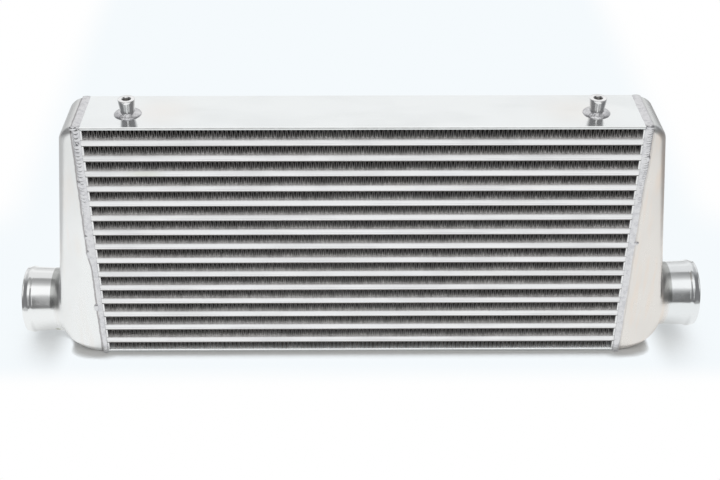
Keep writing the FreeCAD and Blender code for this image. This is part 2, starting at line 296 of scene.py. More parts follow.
@dataclass(frozen=True)
class Pattern:
    """A soft random pattern in metres, and what it adds to the roughness and the relief.

    The stretch says how many times longer its blobs are along each axis, another shift gives another
    pattern, and the ease names the levels between which it runs from 0 to 1.
    """

    size: float
    detail: float = 2.0
    stretch: Point = (1.0, 1.0, 1.0)
    shift: float = 0.0
    ease: Pair | None = None
    rough: float = 0.0
    relief: float = 0.0


class Surface(Graph):
    """The node tree of one metal surface, to which patterns, spots and colours are added in layers."""

    def __init__(self, name: str, metal: Colour, rough: float) -> None:
        """Start with a plain metal.

        Args:
            name: The material's name.
            metal: Its colour before any layer.
            rough: Its roughness before any pattern.
        """
        self.material = bpy.data.materials.new(name)
        self.material.use_nodes = True
        super().__init__(self.material.node_tree)
        self.shader = self.tree.nodes["Principled BSDF"]
        self.shader.inputs["Metallic"].default_value = 1.0
        self.place = self.value("ShaderNodeTexCoord", output="Object")
        self.x, self.y, self.z = self.axes(self.place)
        self.colour: Any = metal
        self.rough: Any = rough
        self.relief: Any = 0.0

    def mapped(self, shift: tuple[float, ...], scale: tuple[float, ...]) -> Value:
        """The place, scaled and then shifted."""
        given = {"Vector": self.place, "Location": shift, "Scale": scale}
        return self.value("ShaderNodeMapping", inputs=given)

    def noise(self, pattern: Pattern, where: Any = 1.0) -> Value:
        """Add a random pattern, with its share of the roughness and the relief.

        Args:
            pattern: The pattern.
            where: Mask of its relief.

        Returns:
            A value around 0.5, or from 0 to 1 if the pattern is eased.
        """
        scale = tuple(1.0 / (pattern.size * factor) for factor in pattern.stretch)
        place = self.mapped((pattern.shift,) * 3, scale)
        given = {"Vector": place, "Scale": 1.0, "Detail": pattern.detail}
        level = self.value("ShaderNodeTexNoise", inputs=given)
        middle = 0.5
        if pattern.ease:
            level, middle = level.step(*pattern.ease), 0.0
        if pattern.rough:
            self.rough = (level - middle) * pattern.rough + self.rough
        if pattern.relief:
            self.relief = level * pattern.relief * where + self.relief
        return level

    def spot(self, centre: Point, radii: Point) -> Value:
        """Soft oval patch, 1 at its centre and 0 outside.

        Args:
            centre: The middle of the patch.
            radii: Its half sizes.

        Returns:
            The mask.
        """
        scale = tuple(1.0 / radius for radius in radii)
        shift = tuple(-middle / radius for middle, radius in zip(centre, radii))
        given = {0: self.mapped(shift, scale)}
        reach = self.value("ShaderNodeVectorMath", {"operation": "LENGTH"}, given, output="Value")
        return reach.step(1.0, 0.0)

    def cover(self, share: Any, colour: Colour) -> None:
        """Lay a colour over the layers so far, as strongly as the share says."""
        self.colour = self.mix(share, self.colour, colour)

    def feed(self, name: str, given: Value) -> None:
        """Connect a value to an input of the shader."""
        self.tree.links.new(given.socket, self.shader.inputs[name])

    def finish(self, depth: float) -> bpy.types.Material:
        """Connect the layers to the shader.

        Args:
            depth: How deep the relief is, in metres, where it is 1.

        Returns:
            The material.
        """
        given = {"Height": self.relief, "Distance": depth, "Strength": 1.0}
        self.feed("Base Color", self.colour)
        self.feed("Roughness", self.rough)
        self.feed("Normal", self.value("ShaderNodeBump", inputs=given, output="Normal"))
        return self.material


@dataclass(frozen=True)
class ToeTaper:
    """How far the outer toe of a core weld draws in towards the joint, lower down."""

    amount: float
    start: float
    end: float

    @classmethod
    def of(cls, side: Side) -> "ToeTaper":
        """The left weld gets slim halfway down, the right one only at its top.

        Args:
            side: The end of the core.

        Returns:
            The taper.
        """
        if side is Side.LEFT:
            return cls(amount=2.8 * MM, start=0.142, end=0.116)
        return cls(amount=1.3 * MM, start=0.248, end=0.222)

    def at(self, height: Value) -> Value:
        """The amount at some height above the floor."""
        return height.step(self.start, self.end) * self.amount


@dataclass(frozen=True)
class CastSkin:
    """Cast and hand-polished aluminium of a tank, brighter on its turned neck."""

    side: Side
    neck_height: float
    metal: Colour = (0.90, 0.91, 0.91)
    shade: Colour = (0.82, 0.825, 0.815)
    shade_share: float = 0.5
    # Painted light and shade on the tank's top: the crown colour is darker than the metal on the left tank,
    # paler and cooler on the right.
    crown: Colour = (0.83, 0.84, 0.835)
    painted_top_rise: Pair = (0.289, 0.297)
    turned: Colour = (0.90, 0.91, 0.91)
    turned_start: Pair = (0.354, 0.360)
    stain: Colour = (0.86, 0.74, 0.64)
    stain_share: float = 0.10
    stain_place: Point = (-0.318, -0.0386, 0.150)
    stain_radii: Point = (7 * MM, 20 * MM, 26 * MM)
    stain_strength: float = 1.6
    streak_strength: float = 1.5
    # Dark line along the weld toe: part weld smut, part painted shade in the crease between bead and wall.
    smut_and_crease_shade: Colour = (0.30, 0.28, 0.29)
    smut_and_shade_share: float = 0.8
    smut_and_shade_edge: Pair = (1.4 * MM, 0.4 * MM)
    smut_and_shade_wander: float = 2.0 * MM
    weld_edge: float = 0.3088
    # Painted shade: the concave root where the neck meets the wall is painted darker, standing for the dark
    # reflection in that crease.
    root: Colour = (0.42, 0.43, 0.42)
    root_shade_share: float = 0.85
    root_outer: Pair = (0.3620, 0.3606)
    root_inner: Pair = (0.3498, 0.3525)
    root_foot: Pair = (8 * MM, 16 * MM)
    root_top: Pair = (41 * MM, 37.5 * MM)
    bruise: Colour = (0.42, 0.44, 0.30)
    bruise_place: Point = (-0.3575, -0.0300, 0.0275)
    bruise_radii: Point = (4.5 * MM, 6 * MM, 4.5 * MM)
    bruise_strength: float = 1.6
    rough: float = 0.28
    neck_polish: float = 0.16
    neck_calm: float = 0.35 / 0.75
    relief_depth: float = 0.28 * MM
    cloud: Pattern = Pattern(60 * MM, 3.0, (1.0, 1.0, 2.0), ease=(0.42, 0.66), rough=0.08)
    grain: Pattern = Pattern(1.6 * MM, 4.0, rough=0.10, relief=0.16)
    pits: Pattern = Pattern(5 * MM, shift=3.0, ease=(0.68, 0.78), relief=0.12)
    streaks: Pattern = Pattern(11 * MM, 2.0, (0.6, 1.0, 5.0), 5.0, (0.45, 0.72))
    wobble: Pattern = Pattern(9 * MM, 3.0, shift=7.0)
    wave: Pattern = Pattern(14 * MM, 1.0, shift=9.0, relief=0.75)

    @classmethod
    def of(cls, side: Side) -> "CastSkin":
        """The left casting is cool and clean, the right one greyer, with warm stains.

        Args:
            side: The end of the core.

        Returns:
            The finish.
        """
        skin = cls(side, NECK_HEIGHTS[side])
        if side is Side.LEFT:
            return skin
        return replace(
            skin, metal=(0.815, 0.785, 0.75), shade=(0.755, 0.728, 0.70), crown=(0.83, 0.845, 0.84),
            turned=(0.84, 0.86, 0.87), stain_share=0.30, stain_place=(0.3225, -0.0386, 0.233),
            smut_and_shade_share=0.25,
        )

    def material(self) -> bpy.types.Material:
        """Build the material.

        Returns:
            The material, in its layers from the plain metal up.
        """
        surface = Surface(f"cast_skin_{self.side.word}", self.metal, self.rough)
        out = surface.x.absolute()
        neck = out.step(*self.turned_start)
        body = 1.0 - neck
        cloud = surface.noise(replace(self.cloud, shift=self.side.value))
        surface.noise(self.grain, body)
        surface.noise(self.pits)
        surface.noise(self.wave, 1.0 - neck * self.neck_calm)
        surface.rough = surface.rough - neck * self.neck_polish
        surface.cover(cloud * self.shade_share * body, self.shade)
        warm = surface.noise(self.streaks) * self.streak_strength
        warm = warm + surface.spot(self.stain_place, self.stain_radii) * self.stain_strength
        surface.cover(warm * self.stain_share * body, self.stain)
        # Painted light and shade on the tank's top, from the crown colour.
        surface.cover(surface.z.step(*self.painted_top_rise), self.crown)
        # Dark line along the weld toe: part weld smut, part painted shade in the crease between bead and
        # wall.
        toe = out - self.weld_edge + ToeTaper.of(self.side).at(surface.z)
        toe = toe - (surface.noise(self.wobble) - 0.5) * self.smut_and_shade_wander
        surface.cover(toe.absolute().step(*self.smut_and_shade_edge) * self.smut_and_shade_share, self.smut_and_crease_shade)
        surface.cover(neck, self.turned)
        surface.cover(surface.spot(self.bruise_place, self.bruise_radii) * self.bruise_strength, self.bruise)
        # Painted shade in the concave root of the neck.
        above = surface.z - self.neck_height
        hollow = out.step(*self.root_outer) * out.step(*self.root_inner)
        hollow = hollow * above.step(*self.root_foot) * above.step(*self.root_top)
        surface.cover(hollow * self.root_shade_share, self.root)
        return surface.finish(self.relief_depth)


@dataclass(frozen=True)
class RolledPlate:
    """Bright rolled plate with fine lines along the core, a painted shade band under the front's top edge and
    faint handling marks.
    """

    name: str = "rolled_plate"
    metal: Colour = (0.90, 0.925, 0.93)
    shade: Colour = (0.83, 0.855, 0.86)
    cloud_share: float = 0.4
    line_share: float = 0.3
    stain: Colour = (0.86, 0.76, 0.68)
    stain_share: float = 0.25
    marks: tuple[tuple[Point, Point], ...] = (
        ((-0.215, 0.0, 0.300), (0.05, 0.05, 0.02)), ((0.23, 0.0, 0.3), (0.06, 0.05, 0.02)),
    )
    # Painted shade: a streaky dark band on the front face just under its top edge.
    dark_front: Colour = (0.52, 0.525, 0.52)
    dark_front_share: float = 0.85
    dark_front_reach: Pair = (1.2 * MM, 0.5 * MM)
    front: float = -37.6 * MM
    front_depth: float = 0.3 * MM
    top_level: float = 298.6 * MM
    foot_level: float = 4.0 * MM
    sooty_edge: Pair = (0.4 * MM, 0.1 * MM)
    sooty_share: float = 0.7
    sooty_rough: float = 0.2
    rough: float = 0.14
    relief_depth: float = 0.12 * MM
    lines: Pattern = Pattern(0.9 * MM, 3.0, (40.0, 1.0, 1.0), rough=0.10, relief=0.05)
    cloud: Pattern = Pattern(50 * MM, 2.0, (2.0, 1.0, 1.0), 2.0, (0.40, 0.70), rough=0.06)
    streaks: Pattern = Pattern(1.2 * MM, 2.0, (6.0, 1.0, 1.0), 3.0)
    wave: Pattern = Pattern(35 * MM, 1.0, (2.0, 1.0, 1.0), 4.0, relief=1.0)

    def material(self) -> bpy.types.Material:
        """Build the material.

        Returns:
            The material, in its layers from the plain metal up.
        """
        surface = Surface(self.name, self.metal, self.rough)
        lines, cloud = surface.noise(self.lines), surface.noise(self.cloud)
        surface.noise(self.wave)
        surface.cover(cloud * self.cloud_share + (lines - 0.5) * self.line_share, self.shade)
        first, second = (surface.spot(*mark) for mark in self.marks)
        surface.cover((first + second) * self.stain_share, self.stain)
        # Painted shade: a streaky dark band on the front face just under its top edge.
        face = surface.y.step(self.front + self.front_depth, self.front)
        high = (surface.z - self.top_level).absolute().step(*self.dark_front_reach)
        surface.cover(face * high * (surface.noise(self.streaks) - 0.5 + self.dark_front_share), self.dark_front)
        inner = (surface.z - self.foot_level).absolute().step(*self.sooty_edge)
        inner = inner * surface.y.absolute().step(-self.front, -self.front - self.front_depth)
        surface.feed("Metallic", 1.0 - inner * self.sooty_share)
        surface.rough = surface.rough + inner * self.sooty_rough
        return surface.finish(self.relief_depth)


@dataclass(frozen=True)
class DrawnBar:
    """Drawn bar stock after brazing: satin, with long lines, specks and one rubbed place."""

    first_level: float
    pitch: float
    name: str = "drawn_bar"
    metal: Colour = (0.90, 0.90, 0.905)
    shade: Colour = (0.77, 0.77, 0.775)
    cloud_share: float = 0.5
    speck_share: float = 0.25
    seam: Colour = (0.55, 0.56, 0.57)
    seam_share: float = 0.45
    seam_level: float = 2.6 * MM
    seam_edge: Pair = (0.55 * MM, 0.1 * MM)
    seam_depth: float = 0.5
    stain: Colour = (0.70, 0.71, 0.60)
    stain_share: float = 0.5
    stain_place: Point = (-0.235, -0.038, 0.242)
    stain_radii: Point = (0.028, 0.02, 0.018)
    rubbed: Colour = (0.97, 0.97, 0.97)
    rubbed_place: Point = (-0.082, -0.038, 0.137)
    rubbed_radii: Point = (0.022, 0.01, 0.006)
    rubbed_rough: float = 0.15
    rubbed_relief: float = 0.3
    rough: float = 0.32
    relief_depth: float = 0.10 * MM
    lines: Pattern = Pattern(0.8 * MM, 3.0, (30.0, 1.0, 1.0), rough=0.12, relief=0.06)
    cloud: Pattern = Pattern(28 * MM, 3.0, (2.5, 1.0, 0.5), ease=(0.40, 0.68), rough=0.06)
    specks: Pattern = Pattern(2.2 * MM, 1.0, shift=4.0, ease=(0.70, 0.78))
    broken: Pattern = Pattern(30 * MM, 3.0, (2.0, 1.0, 0.3), 12.0, (0.38, 0.60))
    torn: Pattern = Pattern(1.8 * MM, 2.0, (3.0, 1.0, 0.8), 6.0, (0.50, 0.58))
    wave: Pattern = Pattern(16 * MM, 2.0, (2.5, 1.0, 1.0), 8.0, relief=1.0)

    def material(self) -> bpy.types.Material:
        """Build the material.

        Returns:
            The material, in its layers from the plain metal up.
        """
        surface = Surface(self.name, self.metal, self.rough)
        surface.noise(self.lines)
        surface.noise(self.wave)
        cloud, specks = surface.noise(self.cloud), surface.noise(self.specks)
        surface.cover(cloud * self.cloud_share + specks * self.speck_share, self.shade)
        local = (surface.z - self.first_level) % self.pitch
        seam = (local - self.seam_level).absolute().step(*self.seam_edge) * surface.noise(self.broken)
        surface.cover(seam * self.seam_share, self.seam)
        surface.cover(surface.spot(self.stain_place, self.stain_radii) * self.stain_share, self.stain)
        scuff = surface.spot(self.rubbed_place, self.rubbed_radii) * surface.noise(self.torn)
        surface.cover(scuff, self.rubbed)
        surface.rough = surface.rough + scuff * self.rubbed_rough
        surface.relief = surface.relief + scuff * self.rubbed_relief - seam * self.seam_depth
        return surface.finish(self.relief_depth)


@dataclass(frozen=True)
class FoldedStrip:
    """Thin folded strip of a fin row: dull, with painted shade near its upper crests, where the bar above
    shades the row, and pale at its foot.
    """

    foot_level: float
    height: float
    pitch: float
    front: float
    name: str = "folded_strip"
    pale: Colour = (0.88, 0.87, 0.86)
    # Painted shade: each row darkens towards its top, where the bar above shades the fins.
    painted_row_shade: Colour = (0.13, 0.125, 0.12)
    painted_shade_rise: Pair = (-0.12, 0.60)
    painted_shade_fold: float = 0.16
    painted_shade_film: float = 0.10
    # Darker along the strip's front edges.
    dark_front: Colour = (0.30, 0.29, 0.285)
    dark_front_share: float = 0.45
    dark_front_reach: Pair = (0.5 * MM, 0.1 * MM)
    sheet_room: float = 1.0 * MM
    bare_share: float = 0.30
    rough: float = 0.40
    relief_depth: float = 0.03 * MM
    fold: Pattern = Pattern(5 * MM, 1.0, (1.0, 9.0, 3.0), ease=(0.34, 0.66))
    film: Pattern = Pattern(40 * MM, 2.0, (1.5, 1.0, 0.4), 3.0, (0.40, 0.66), rough=0.10)
    grain: Pattern = Pattern(0.7 * MM, 2.0, (1.0, 6.0, 1.0), rough=0.2, relief=1.0)

    def material(self) -> bpy.types.Material:
        """Build the material.

        Returns:
            The material, in its layers from the plain metal up.
        """
        surface = Surface(self.name, self.pale, self.rough)
        surface.shader.inputs["Metallic"].default_value = self.bare_share
        surface.noise(self.grain)
        # Painted shade: darker towards the top of each row, where the bar above shades the fins.
        local = (surface.z - (self.foot_level - self.sheet_room)) % self.pitch - self.sheet_room
        row_shade = local / self.height + (surface.noise(self.fold) - 0.5) * self.painted_shade_fold
        surface.cover((row_shade + surface.noise(self.film) * self.painted_shade_film).step(*self.painted_shade_rise), self.painted_row_shade)
        # Darker along the strip's front edges.
        near, far = self.dark_front_reach
        edge = surface.y.absolute().step(self.front - near, self.front - far)
        surface.cover(edge * self.dark_front_share, self.dark_front)
        return surface.finish(self.relief_depth)


@dataclass(frozen=True)
class WeldMetal:
    """Frozen weld metal, bright on its crests and frosted between them."""

    name: str = "weld_metal"
    metal: Colour = (0.735, 0.735, 0.75)
    shade: Colour = (0.55, 0.55, 0.58)
    shade_share: float = 0.5
    rough: float = 0.20
    relief_depth: float = 0.06 * MM
    frost: Pattern = Pattern(4.5 * MM, 3.0, ease=(0.44, 0.64), rough=0.10, relief=0.7)
    grain: Pattern = Pattern(0.9 * MM, 4.0, shift=2.0, rough=0.08, relief=0.3)

    def material(self) -> bpy.types.Material:
        """Build the material.

        Returns:
            The material, in its layers from the plain metal up.
        """
        surface = Surface(self.name, self.metal, self.rough)
        surface.noise(self.grain)
        surface.cover(surface.noise(self.frost) * self.shade_share, self.shade)
        return surface.finish(self.relief_depth)


@dataclass(frozen=True)
class TurnedMetal:
    """Bright turned metal of a boss, with the fine rings that the tool left and a dull tapped hole painted
    dark for the shade inside it.
    """

    centres: Pair
    lead: float
    name: str = "turned_metal"
    metal: Colour = (0.92, 0.92, 0.92)
    shade: Colour = (0.76, 0.76, 0.77)
    shade_share: float = 0.4
    # Painted shade: the tapped hole is painted dark below its mouth.
    hole: Colour = (0.20, 0.19, 0.18)
    hole_shade_edge: Pair = (5.2 * MM, 4.6 * MM)
    hole_shade_fall: Pair = (317.6 * MM, 316.4 * MM)
    hole_rough: float = 0.15
    ring_pitch: float = 0.35 * MM
    ring_relief: float = 0.125
    rough: float = 0.09
    relief_depth: float = 0.015 * MM
    cloud: Pattern = Pattern(4 * MM, 3.0, ease=(0.42, 0.66), rough=0.06, relief=0.4)

    def material(self) -> bpy.types.Material:
        """Build the material.

        Returns:
            The material, in its layers from the plain metal up.
        """
        surface = Surface(self.name, self.metal, self.rough)
        surface.cover(surface.noise(self.cloud) * self.shade_share, self.shade)
        # Painted shade: the tapped hole is painted dark below its mouth.
        across, aside = surface.x.absolute() - self.centres[1], surface.y - self.lead
        inside = ((across * across + aside * aside) ** 0.5).step(*self.hole_shade_edge)
        inside = inside * surface.z.step(*self.hole_shade_fall)
        surface.cover(inside, self.hole)
        surface.rough = surface.rough + inside * self.hole_rough
        rings = (surface.z * (2.0 * math.pi / self.ring_pitch)).sine()
        surface.relief = surface.relief + rings * self.ring_relief
        return surface.finish(self.relief_depth)


class NodeModel(Graph):
    """A geometry node tree with named inputs, run once to make a plain mesh."""

    def __init__(self, name: str) -> None:
        """Make an empty tree.

        Args:
            name: The tree's name.
        """
        super().__init__(bpy.data.node_groups.new(name, "GeometryNodeTree"))
        self.settings: dict[str, Any] = {}

    def number(self, name: str, default: float | int) -> Value:
        """Add a named input.

        Args:
            name: The input's name.
            default: Its value, whole or not, which also sets its type.

        Returns:
            The input as a value.
        """
        kind = "NodeSocketInt" if isinstance(default, int) else "NodeSocketFloat"
        socket = self.tree.interface.new_socket(name, in_out="INPUT", socket_type=kind)
        self.settings[socket.identifier] = default
        return self.value("NodeGroupInput", output=name)

    def point(self, x: Any = 0.0, y: Any = 0.0, z: Any = 0.0) -> Value:
        """Join three numbers to a vector."""
        return self.value("ShaderNodeCombineXYZ", inputs={0: x, 1: y, 2: z})

    def turn(self, x: Any = 0.0, y: Any = 0.0, z: Any = 0.0) -> Value:
        """Join three angles to a rotation."""
        return self.value("FunctionNodeEulerToRotation", inputs={0: self.point(x, y, z)})

    def scatter(self, spread: Value, seed: Value, group: Value) -> Value:
        """Random number that is the same for a whole group of points.

        Args:
            spread: The largest distance from zero.
            seed: The input that seeds it.
            group: The number of a point's group.

        Returns:
            The random number.
        """
        given = {2: -spread, 3: spread, "ID": group, "Seed": seed}
        return self.value("FunctionNodeRandomValue", {"data_type": "FLOAT"}, given, output=1)

    def cloud(self, first: Any, second: Any, third: Any) -> Value:
        """Smooth random field over two or three coordinates, about -0.3 to 0.3."""
        place = self.point(first, second, third * SEED_STEP)
        return self.value("ShaderNodeTexNoise", inputs={"Vector": place, "Scale": 1.0, "Detail": 1.0}) - 0.5

    def shape(self, kind: str, inputs: dict[int | str, Any] | None = None, **settings: Any) -> Value:
        """Add a geometry node, named without its prefix, and return its first output."""
        return self.value(f"GeometryNode{kind}", settings, inputs)

    def curve(self, count: Any, place: Value) -> Value:
        """A curve with some number of points, each set at its place."""
        line = self.shape("MeshLine", {"Count": count})
        return self.shape("MeshToCurve", {0: self.shape("SetPosition", {0: line, "Position": place})})

    def rounded(self, curve: Value, count: int, radius: Any) -> Value:
        """Round a curve's corners in a few steps."""
        given = {0: curve, "Count": count, "Radius": radius, "Limit Radius": True}
        return self.shape("FilletCurve", given, mode="POLY")

    def facing(self, curve: Value, normal: Point) -> Value:
        """Fix a curve's normal, so that a section isn't twisted on it."""
        return self.shape("SetCurveNormal", {0: curve, "Normal": normal}, mode="FREE")

    def swept(self, path: Value, section: Value, capped: bool = True) -> Value:
        """Sweep a section along a path."""
        return self.shape("CurveToMesh", {0: path, 1: section, "Fill Caps": capped})

    def circle(self, points: int, radius: Any) -> Value:
        """A round curve."""
        return self.shape("CurvePrimitiveCircle", {"Resolution": points, "Radius": radius})

    def moved(self, geometry: Value, shift: Value) -> Value:
        """Move a geometry's points by a field."""
        return self.shape("SetPosition", {0: geometry, "Offset": shift})

    def store(self, geometry: Value, name: str, field: Value) -> Value:
        """Keep a field on a geometry's points under a name."""
        given = {0: geometry, "Name": name, "Value": field}
        return self.shape("StoreNamedAttribute", given, data_type="FLOAT", domain="POINT")

    def stored(self, name: str) -> Value:
        """Read a field that was kept under a name."""
        return self.shape("InputNamedAttribute", {"Name": name}, data_type="FLOAT")

    def join(self, *parts: Value) -> Value:
        """Join several meshes.

        Args:
            parts: The meshes.

        Returns:
            All of them as one.
        """
        node = self.node("GeometryNodeJoinGeometry")
        for part in parts:
            self.tree.links.new(part.socket, node.inputs[0])
        return Value(self, node.outputs[0])

    def build(
        self, name: str, geometry: Value, material: bpy.types.Material, smooth: bool
    ) -> bpy.types.Object:
        """Run the tree on an empty mesh and keep the result as a plain mesh.

        Args:
            name: The new piece's name.
            geometry: What the tree makes.
            material: Its material.
            smooth: Whether its faces are shaded smooth.

        Returns:
            The piece, at the origin.
        """
        self.tree.interface.new_socket("Geometry", in_out="OUTPUT", socket_type="NodeSocketGeometry")
        solid = self.shape("RealizeInstances", {0: geometry})
        shaded = self.shape("SetShadeSmooth", {0: solid, "Shade Smooth": smooth})
        dressed = self.shape("SetMaterial", {0: shaded, "Material": material})
        self.node("NodeGroupOutput", inputs={0: dressed})
        carrier = new_object(name, bpy.data.meshes.new(name + "_empty"))
        modifier = carrier.modifiers.new("shape", "NODES")
        modifier.node_group = self.tree
        for identifier, setting in self.settings.items():
            modifier[identifier] = setting
        plain = plain_mesh(carrier)
        carrier.modifiers.clear()
        carrier.data = plain
        if not plain.materials:
            plain.materials.append(material)
        return carrier


def plain_mesh(piece: bpy.types.Object) -> bpy.types.Mesh:
    """The mesh that a piece's modifiers make.

    Args:
        piece: An object with modifiers.

    Returns:
        A new mesh without them.
    """
    evaluated = piece.evaluated_get(bpy.context.evaluated_depsgraph_get())
    return bpy.data.meshes.new_from_object(evaluated)


def new_object(name: str, data: Any) -> bpy.types.Object:
    """Put a mesh, a lamp or a camera in the scene.

    Args:
        name: The object's name.
        data: What it shows, a mesh in the model's frame.

    Returns:
        The new object, at the origin.
    """
    placed = bpy.data.objects.new(name, data)
    bpy.context.scene.collection.objects.link(placed)
    return placed


def coat(mesh: bpy.types.Mesh, material: bpy.types.Material) -> None:
    """Make a material the only one of a mesh."""
    mesh.materials.clear()
    mesh.materials.append(material)


def band(form: bmesh.types.BMesh, ring: list[bmesh.types.BMVert], after: list[bmesh.types.BMVert]) -> None:
    """Join two rings of as many points with quads.

    Args:
        form: The form that both rings are in.
        ring: The first ring, which may be empty.
        after: The second ring, in the same order.
    """
    for index in range(len(ring)):
        step = (index + 1) % len(ring)
        form.faces.new((ring[index], ring[step], after[step], after[index]))


def keep_form(form: bmesh.types.BMesh, mesh: bpy.types.Mesh, sharp: float | None = None) -> bpy.types.Mesh:
    """Turn a form's normals outwards and keep it as a mesh.

    Args:
        form: The form, which is freed.
        mesh: The mesh to fill.
        sharp: Angle in degrees from which an edge stays sharp on a smooth mesh, or None for a flat one.

    Returns:
        The mesh.
    """
    bmesh.ops.recalc_face_normals(form, faces=form.faces[:])
    for face in form.faces:
        face.smooth = sharp is not None
    form.to_mesh(mesh)
    form.free()
    if sharp is not None:
        mesh.set_sharp_from_angle(angle=math.radians(sharp))
    return mesh


def fill_holes(form: bmesh.types.BMesh) -> None:
    """Close every open rim."""
    bmesh.ops.holes_fill(form, edges=[edge for edge in form.edges if edge.is_boundary])


def seat(piece: bpy.types.Object, slot: str, *nodes: str) -> None:
    """Let a piece stand for its nodes and report it.

    Args:
        piece: The finished piece.
        slot: Not used.
        nodes: The nodes that it replaces.
    """
    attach(piece, BODY)
    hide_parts(*nodes)
    piece.data.calc_loop_triangles()
    LOG.info("%s: %d triangles, for %s", piece.name, len(piece.data.loop_triangles), ", ".join(nodes))


@dataclass
class CastTank:
    """A cast end tank: a hollow with rounded edges that flows into its neck."""

    side: Side
    neck_height: float
    joint: float = 0.305
    height: float = 0.300
    half_depth: float = 0.0386
    low_radius: float = 47 * MM
    high_radius: float = 19 * MM
    edge_radius: float = 7 * MM
    wall: float = 3.5 * MM
    neck_radius: float = 38 * MM
    neck_reach: float = 89 * MM
    root_radius: float = 9 * MM
    waist_depth: float = 0.9 * MM
    waist_start: float = 45 * MM
    waist_floor: float = 55 * MM
    waist_end: float = 77 * MM
    bead_setback: float = 7.5 * MM
    bead_width: float = 8.0 * MM
    bead_height: float = 1.4 * MM
    rim_edge: float = 0.8 * MM
    lathe_start: float = 62 * MM
    lathe_step: float = 5 * MM
    overcut: float = 1.0 * MM
    overlap: float = 10 * MM
    root_spread: float = 0.45
    root_thinning: float = 0.75
    inner_root: float = 0.25
    bead_power: float = 1.6
    bead_steps: int = 16
    rim_clearance: float = 1.5
    rim_steps: int = 4
    bore_edge: float = 0.7
    arc_steps: int = 16
    tube_segments: int = 96
    grid: float = 1.5 * MM
    inner_grid: float = 2.6 * MM
    cut_tolerance: float = 0.08
    settle_steps: int = 6
    slope_step: float = 1e-5
    least_slope: float = 0.05
    seam_gap: float = 1e-6
    sharp_degrees: float = 40.0

    def distance(self, points: np.ndarray, inset: float) -> np.ndarray:
        """Signed distance from the tank's skin, with the neck's root rounded where it meets the wall.

        Args:
            points: Places in the tank's own frame, one a row, +X outwards from the joint.
            inset: 0 for the outside, or the wall for the inside.

        Returns:
            One distance a point, negative within the metal's outline.
        """
        x, y, z = points.T
        low, high = self.low_radius, self.high_radius
        span = self.height - low - high
        lean = (low - high) / span
        rise = math.sqrt(1.0 - lean * lean)
        across, up = np.abs(x), z - low
        along = rise * up - lean * across
        belly = np.hypot(across, up) - low
        shoulder = np.hypot(across, up - span) - high
        flank = rise * across + lean * up - low
        profile = np.where(along < 0.0, belly, np.where(along > rise * span, shoulder, flank)) + inset
        edge = self.edge_radius - inset
        over = profile + edge
        aside = np.abs(y) - (self.half_depth - inset) + edge
        outside = np.hypot(np.maximum(over, 0.0), np.maximum(aside, 0.0))
        body = np.minimum(np.maximum(over, aside), 0.0) + outside - edge
        neck = np.hypot(y, z - self.neck_height) - (self.neck_radius - inset)
        share = np.clip((np.abs(y) / self.half_depth - self.root_spread) / self.root_spread, 0.0, 1.0)
        root = self.root_radius * (1.0 - self.root_thinning * share * share * (3.0 - 2.0 * share))
        if inset:
            root = root * self.inner_root
        else:
            neck = neck + self.waist(x)
        blend = np.hypot(np.maximum(root - body, 0.0), np.maximum(root - neck, 0.0))
        return np.maximum(root, np.minimum(body, neck)) - blend

    def waist(self, x: Any) -> Any:
        """How much slimmer the neck is, as it tapers from its bead to a waist near the tank.

        Args:
            x: Distance from the joint, one number or many.

        Returns:
            What its radius loses there.
        """
        towards_tank = (x - self.waist_start) / (self.waist_floor - self.waist_start)
        towards_bead = (self.waist_end - x) / (self.waist_end - self.waist_floor)
        return self.waist_depth * np.clip(np.minimum(towards_tank, towards_bead), 0.0, 1.0)

    def settle(self, points: np.ndarray, inset: float, held: np.ndarray) -> np.ndarray:
        """Move points onto the skin, straight along its slope.

        Args:
            points: Places near the skin.
            inset: 0 for the outside, or the wall for the inside.
            held: Which points keep their X because they lie on a cut.

        Returns:
            The settled points.
        """
        for _ in range(self.settle_steps):
            gap = self.distance(points, inset)
            slope = np.empty_like(points)
            for axis in range(3):
                shift = np.zeros(3)
                shift[axis] = self.slope_step
                rise = self.distance(points + shift, inset) - self.distance(points - shift, inset)
                slope[:, axis] = rise / (2 * self.slope_step)
            slope[held, 0] = 0.0
            steep = np.maximum((slope * slope).sum(axis=1), self.least_slope)
            points = points - slope * (gap / steep)[:, None]
        return points

    def rough_form(self, inset: float) -> bpy.types.Object:
        """Body and neck as two overlapping closed prisms, to be skinned over.

        Args:
            inset: 0 for the outside, or the wall for the inside.

        Returns:
            An object in the tank's own frame.
        """
        low, high = self.low_radius - inset, self.high_radius - inset
        high_centre = self.height - self.high_radius
        outline = [(-self.overlap, self.low_radius - low), (-self.overlap, high_centre + high)]
        quarter = [math.pi / 2 * step / self.arc_steps for step in range(self.arc_steps + 1)]
        outline += [(high * math.sin(a), high_centre + high * math.cos(a)) for a in quarter]
        outline += [(low * math.cos(a), self.low_radius - low * math.sin(a)) for a in quarter]
        half = self.half_depth - inset
        form = bmesh.new()
        base = form.faces.new([form.verts.new((x, -half, z)) for x, z in outline])
        raised = bmesh.ops.extrude_face_region(form, geom=[base])
        moved = [item for item in raised["geom"] if isinstance(item, bmesh.types.BMVert)]
        bmesh.ops.translate(form, verts=moved, vec=(0.0, 2 * half, 0.0))
        radius = self.neck_radius - inset
        tube = bmesh.ops.create_cone(
            form, cap_ends=True, segments=self.tube_segments, radius1=radius, radius2=radius,
            depth=self.lathe_start,
        )["verts"]
        for vertex in tube:
            x, y, z = vertex.co
            vertex.co = (z + self.lathe_start / 2 + self.overlap, y, x + self.neck_height)
        return new_object("rough_form", keep_form(form, bpy.data.meshes.new("rough_form")))

